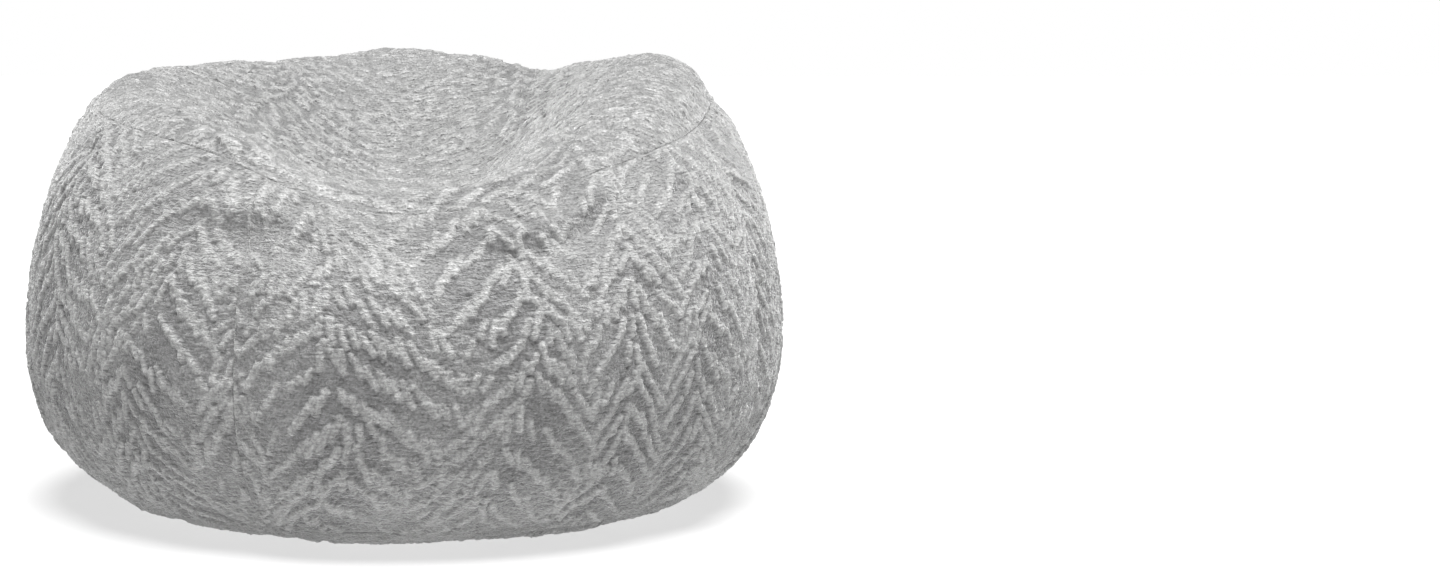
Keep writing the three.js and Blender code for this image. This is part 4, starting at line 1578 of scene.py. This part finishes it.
def weld(piece, distance):
    shape = bmesh.new()
    shape.from_mesh(piece.data)
    bmesh.ops.remove_doubles(shape, verts=shape.verts, dist=distance)
    bmesh.ops.dissolve_degenerate(shape, dist=1e-6, edges=shape.edges)
    shape.to_mesh(piece.data)
    shape.free()
    piece.data.update()


# ---- Zips, label and garage ----


class RingFrame:
    """A place on a ring about the axis: u runs up the meridian, h outwards, in metres."""

    def __init__(self, name, offset, depth, angle):
        length = float(form.at(name, np.float64(angle))) + offset
        low, high = (self.flat(angle, length + d) for d in (-0.004, 0.004))
        self.along = (high - low) / np.linalg.norm(high - low)
        self.out = np.array([self.along[1], -self.along[0]])
        self.origin = self.flat(angle, length) - self.out * depth

    @staticmethod
    def flat(angle, length):
        point = form.bare(np.array([angle], float), np.array([length], float))[0]
        return np.array([math.hypot(point[0], point[1]), point[2]])

    def point(self, u, h, angle):
        """Points for arrays of u, h and angle."""
        u, h, angle = np.broadcast_arrays(u, h, angle)
        r = self.origin[0] + self.along[0] * u + self.out[0] * h
        z = self.origin[1] + self.along[1] * u + self.out[1] * h
        turn = np.radians(angle)
        return np.stack([r * np.cos(turn), r * np.sin(turn), z], -1)

    def degrees(self, length):
        return math.degrees(length / self.origin[0])


def frame_block(ring, name, us, hs, arc, material, steps):
    """A thin piece of cloth in a ring frame, face outward."""
    along_steps, across_steps = steps
    angle = np.linspace(arc[0], arc[1], along_steps + 1)[:, None]
    u = np.linspace(us[0], us[1], across_steps + 1)[None]
    front = ring.point(u, hs[1], angle)
    behind = ring.point(u, hs[0], angle)
    cloth = np.stack(np.broadcast_arrays(np.radians(angle) * ring.origin[0], u), -1)
    return closed_strip(name, front, behind, material, cloth)


def tube(name, line, size, sides, material):
    """A round-sectioned wire along points, closed at both ends."""
    line = np.asarray(line)
    ahead = np.gradient(line, axis=0)
    ahead /= np.linalg.norm(ahead, axis=1, keepdims=True)
    axis = line * np.array([1, 1, 0])
    axis /= np.linalg.norm(axis, axis=1, keepdims=True)
    first = np.cross(ahead, axis)
    first /= np.linalg.norm(first, axis=1, keepdims=True)
    second = np.cross(ahead, first)
    turn = np.arange(sides) * 2 * math.pi / sides
    round_it = first[:, None] * np.cos(turn)[None, :, None] + second[:, None] * np.sin(turn)[None, :, None]
    rings = line[:, None] + size * round_it
    faces = []
    for i in range(len(line) - 1):
        for k in range(sides):
            n = (k + 1) % sides
            faces.append((i * sides + k, i * sides + n, (i + 1) * sides + n, (i + 1) * sides + k))
    faces.append(tuple(range(sides))[::-1])
    last = (len(line) - 1) * sides
    faces.append(tuple(last + k for k in range(sides)))
    piece = new_piece(name, rings.reshape(-1, 3), faces, material)
    outward(piece)
    return piece


def outward(piece):
    shape = bmesh.new()
    shape.from_mesh(piece.data)
    bmesh.ops.recalc_face_normals(shape, faces=shape.faces)
    shape.to_mesh(piece.data)
    shape.free()
    piece.data.update()


def zip_coil(ring, name, way, arc, pitch, material):
    """A flattened nylon helix along the tape's edge."""
    wire = 0.00042
    turns = int(math.radians(arc[1] - arc[0]) * ring.origin[0] / pitch)
    count = turns * 8
    phase = np.arange(count + 1) / 8.0
    turn = 2 * math.pi * phase
    middle = COIL_SPACING / 2 + COIL_WIDTH / 2
    base = TAPE_THICKNESS + ZIP_CLEARANCE + COIL_THICKNESS / 2
    u = way * (middle - (COIL_WIDTH / 2 - wire) * np.cos(turn))
    h = base + (COIL_THICKNESS / 2 - wire) * np.sin(turn)
    room = ring.degrees(wire)
    angle = np.interp(phase, (0, turns), (arc[0] + room, arc[1] - room))
    line = ring.point(u, h, angle)
    return tube(name, line, wire, 5, material)


def stitches(ring, name, us, h, arc, length, gap, material):
    """Rows of separate thread stitches, each a small rounded bar."""
    wide, tall = 0.00038, 0.00022
    step = ring.degrees(length + gap)
    starts = np.arange(arc[0] + step, arc[1] - step, step)
    verts, faces = [], []
    profile = ((0.0, 0.4), (0.25, 1.0), (0.75, 1.0), (1.0, 0.4))
    for u in us:
        for start in starts:
            first = len(verts)
            for share, full in profile:
                angle = start + ring.degrees(length) * share
                reach, rise = wide * full, tall * full
                for du, dh in ((-reach, 0.0), (-reach * 0.6, rise), (reach * 0.6, rise), (reach, 0.0)):
                    verts.append(tuple(ring.point(u + du, h + dh, angle)))
            for i in range(3):
                a = first + 4 * i
                for k in range(4):
                    n = (k + 1) % 4
                    faces.append((a + k, a + 4 + k, a + 4 + n, a + n))
            faces.append((first, first + 1, first + 2, first + 3))
            faces.append((first + 15, first + 14, first + 13, first + 12))
    piece = new_piece(name, verts, faces, material)
    outward(piece)
    return piece


def softened(node, width, material, body):
    """The frame's own metal part with its edges rounded."""
    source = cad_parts[node]
    mesh = source.data.copy()
    piece = bpy.data.objects.new(node + "_rounded", mesh)
    bpy.context.scene.collection.objects.link(piece)
    mesh.materials.clear()
    mesh.materials.append(material)
    shape = bmesh.new()
    shape.from_mesh(mesh)
    bmesh.ops.remove_doubles(shape, verts=shape.verts, dist=1e-6)
    bmesh.ops.dissolve_limit(shape, angle_limit=math.radians(2), verts=shape.verts, edges=shape.edges)
    shape.to_mesh(mesh)
    shape.free()
    modifier = piece.modifiers.new("edges", "BEVEL")
    modifier.width = width
    modifier.segments = 2
    modifier.limit_method = "ANGLE"
    modifier.angle_limit = math.radians(35)
    modifier.use_clamp_overlap = True
    bpy.ops.object.select_all(action="DESELECT")
    piece.select_set(True)
    bpy.context.view_layer.objects.active = piece
    bpy.ops.object.modifier_apply(modifier="edges")
    sharpen(piece, 40)
    return finish_piece(piece, body, stands_for=[node])


def zip_chain(prefix, key, depth, arc, settings):
    """Tapes, coils, stitching and end stops of one zip."""
    ring = RingFrame(key, 0.0, depth + TAPE_THICKNESS, arc[0])
    edge = COIL_SPACING / 2 + ZIP_CLEARANCE
    for side, way in (("upper", 1), ("lower", -1)):
        us = (edge, SEAM_BAND) if way > 0 else (-SEAM_BAND, -edge)
        name = f"{prefix}_zip_tape_{side}"
        tape = frame_block(ring, name + "_woven", us, (0.0, TAPE_THICKNESS), arc, material_for("zip_cloth"), (420, 8))
        finish_piece(tape, stands_for=[name])
        name = f"{prefix}_zip_coil_{side}"
        coil = zip_coil(ring, name + "_helix", way, arc, settings.coil_pitch, material_for("coil"))
        finish_piece(coil, stands_for=[name])
    rows = [way * (COIL_SPACING / 2 + COIL_WIDTH + off) for way in (1, -1) for off in (0.0022, 0.0066)]
    thread = stitches(
        ring,
        f"{prefix}_zip_stitching",
        rows,
        TAPE_THICKNESS,
        arc,
        settings.stitch_length,
        0.0009,
        material_for("thread"),
    )
    finish_piece(thread)
    for end in ("closed", "open"):
        softened(f"{prefix}_zip_stop_{end}", 0.0004, material_for("steel"), "bag")
    return ring


class BEANBAG_OT_cover_zip(bpy.types.Operator):
    """Make the cover's zip, its locking slider and the garage over it"""

    bl_idname = "beanbag.cover_zip"
    bl_label = "Cover zip"

    def execute(self, context):
        settings = context.scene.beanbag_zips
        ring = zip_chain("cover", "lower_seam", BINDING_DEPTH, COVER_ZIP_ARC, settings)
        softened("cover_zip_slider", 0.0003, material_for("steel"), "cover_zip_slider")
        softened("cover_zip_lock_pawl", 0.00018, material_for("steel"), "cover_zip_lock_pawl")
        outside = BINDING_DEPTH + TAPE_THICKNESS + 0.0004
        arc = (COVER_ZIP_ARC[0] - 1, COVER_ZIP_ARC[0] + 4)
        angle = np.linspace(arc[0], arc[1], 41)[:, None]
        u = np.linspace(-0.010, 0.010, 25)[None]
        side = 1 - smooth(0.0082, 0.010, np.abs(u)) * 0.5
        ends = 1 - 0.5 * smooth(0.35, 0.5, np.abs((angle - np.mean(arc)) / (arc[1] - arc[0])))
        quilt = 0.00012 * np.sin(u * 900) * np.sin(np.radians(angle) * 420)
        front = ring.point(u, outside + 0.0008 * side * ends + quilt, angle)
        behind = ring.point(u, outside + 0.0 * u, angle + 0.0 * u)
        cloth = np.stack(np.broadcast_arrays(np.radians(angle) * ring.origin[0], u), -1)
        garage = closed_strip("cover_zip_garage_flap", front, behind, material_for("binding"), cloth)
        finish_piece(garage, stands_for=["cover_zip_garage"])
        sewn = (arc[0] + 0.1, arc[1] - 0.1)
        places = [-0.0078, 0.0078]
        thread = material_for("thread")
        seam = stitches(ring, "garage_stitching", places, outside + 0.0008, sewn, 0.0022, 0.0008, thread)
        finish_piece(seam)
        return {"FINISHED"}


class BEANBAG_OT_liner_zip(bpy.types.Operator):
    """Make the liner's zip"""

    bl_idname = "beanbag.liner_zip"
    bl_label = "Liner zip"

    def execute(self, context):
        zip_chain("liner", "belly", LINER_TAPE_DEPTH, LINER_ZIP_ARC, context.scene.beanbag_zips)
        softened("liner_zip_slider", 0.0003, material_for("steel"), "liner_zip_slider")
        return {"FINISHED"}


class BEANBAG_OT_care_label(bpy.types.Operator):
    """Make the blank care label in the back right seam"""

    bl_idname = "beanbag.care_label"
    bl_label = "Care label"

    def execute(self, context):
        ring = RingFrame("belly", -0.060, 0.0, FIRST_SIDE_SEAM)
        u = np.linspace(-0.013, 0.013, 27)[None]
        h = np.linspace(-0.005, 0.028, 34)[:, None]
        turn = math.radians(FIRST_SIDE_SEAM)
        tangent = np.array([-math.sin(turn), math.cos(turn), 0.0])
        out = smooth(0.0, 0.028, h)
        curl = (0.0055 * out**1.5 + 0.0008 * np.sin(u * 240) * out)[..., None]
        middle = ring.point(u, h - 0.0012 * out, FIRST_SIDE_SEAM) + tangent * curl
        half = 0.0002
        across = surface_normals(middle, False)
        front, behind = middle + across * half, middle - across * half
        cloth = np.stack(np.broadcast_arrays(h, u), -1)
        label = closed_strip("care_label_satin", front, behind, material_for("label"), cloth)
        finish_piece(label, stands_for=["care_label"])
        return {"FINISHED"}


# ---- The stage ----


class BEANBAG_OT_stage(bpy.types.Operator):
    """Make the floor, the soft light and the camera"""

    bl_idname = "beanbag.stage"
    bl_label = "Stage"

    def execute(self, context):
        s = context.scene.beanbag_stage
        scene = context.scene
        bpy.ops.object.select_all(action="DESELECT")
        bpy.ops.mesh.primitive_plane_add(size=60, location=(0, 0, 0))
        floor = context.object
        floor.name = "floor"
        material, tree, shader = bare_material("pale_floor", 0.9)
        shader.inputs["Base Color"].default_value = (0.32, 0.32, 0.32, 1)
        shader.inputs["Emission Color"].default_value = (1, 1, 1, 1)
        shader.inputs["Emission Strength"].default_value = 0.65
        shader.inputs["Specular IOR Level"].default_value = 0.1
        floor.data.materials.append(material)
        world = bpy.data.worlds.new("white_surround")
        world.use_nodes = True
        tree = world.node_tree
        soft = tree.nodes["Background"]
        soft.inputs["Color"].default_value = (1, 1, 1, 1)
        soft.inputs["Strength"].default_value = s.surround
        plain = put(tree, "ShaderNodeBackground")
        plain.inputs["Color"].default_value = (1, 1, 1, 1)
        seen = put(tree, "ShaderNodeLightPath")
        choice = put(tree, "ShaderNodeMixShader")
        link(tree, seen.outputs["Is Camera Ray"], choice.inputs[0])
        link(tree, soft.outputs[0], choice.inputs[1])
        link(tree, plain.outputs[0], choice.inputs[2])
        link(tree, choice.outputs[0], tree.nodes["World Output"].inputs["Surface"])
        scene.world = world
        target = Vector((0, 0, 0.28))
        sun = bpy.data.lights.new("top_light", "SUN")
        sun.energy = s.top_light
        sun.angle = math.radians(40)
        front = bpy.data.lights.new("front_light", "AREA")
        front.shape = "DISK"
        front.size = 2.4
        front.energy = s.front_light
        for data, place in ((sun, (0.25, -0.3, 3.0)), (front, (-0.8, -3.4, 1.8))):
            lamp = bpy.data.objects.new(data.name, data)
            scene.collection.objects.link(lamp)
            lamp.location = place
            lamp.rotation_euler = (target - Vector(place)).to_track_quat("-Z", "Y").to_euler()
        camera = bpy.data.objects.new("camera", bpy.data.cameras.new("camera"))
        scene.collection.objects.link(camera)
        camera.data.lens = s.lens
        camera.data.sensor_width = 36.0
        camera.data.shift_x = 0.219
        camera.data.shift_y = 0.0015
        away = Vector((0, -math.cos(s.camera_rise), math.sin(s.camera_rise)))
        camera.location = target + away * s.camera_distance
        camera.rotation_euler = (-away).to_track_quat("-Z", "Y").to_euler()
        scene.camera = camera
        scene.view_settings.view_transform = "Standard"
        return {"FINISHED"}


class BEANBAG_PT_makers(bpy.types.Panel):
    bl_label = "Bean bag chair"
    bl_space_type = "VIEW_3D"
    bl_region_type = "UI"
    bl_category = "Bean bag"

    def draw(self, context):
        for operator in OPERATORS:
            self.layout.operator(operator.bl_idname)


OPERATORS = (
    BEANBAG_OT_cover,
    BEANBAG_OT_seam_bindings,
    BEANBAG_OT_liner,
    BEANBAG_OT_bead_fill,
    BEANBAG_OT_cover_zip,
    BEANBAG_OT_liner_zip,
    BEANBAG_OT_care_label,
    BEANBAG_OT_stage,
)
SETTINGS = (
    ("beanbag_cover", CoverSettings),
    ("beanbag_colours", ColourSettings),
    ("beanbag_zips", ZipSettings),
    ("beanbag_stage", StageSettings),
)


def register():
    for name, kind in SETTINGS:
        bpy.utils.register_class(kind)
        setattr(bpy.types.Scene, name, PointerProperty(type=kind))
    for kind in (*OPERATORS, BEANBAG_PT_makers):
        bpy.utils.register_class(kind)


def unregister():
    for kind in reversed((*OPERATORS, BEANBAG_PT_makers)):
        bpy.utils.unregister_class(kind)
    for name, kind in reversed(SETTINGS):
        delattr(bpy.types.Scene, name)
        bpy.utils.unregister_class(kind)


def main():
    register()
    make_materials(bpy.context.scene.beanbag_colours)
    for operator in OPERATORS:
        group_name, call = operator.bl_idname.split(".")
        getattr(getattr(bpy.ops, group_name), call)()


if __name__ == "__main__":
    main()
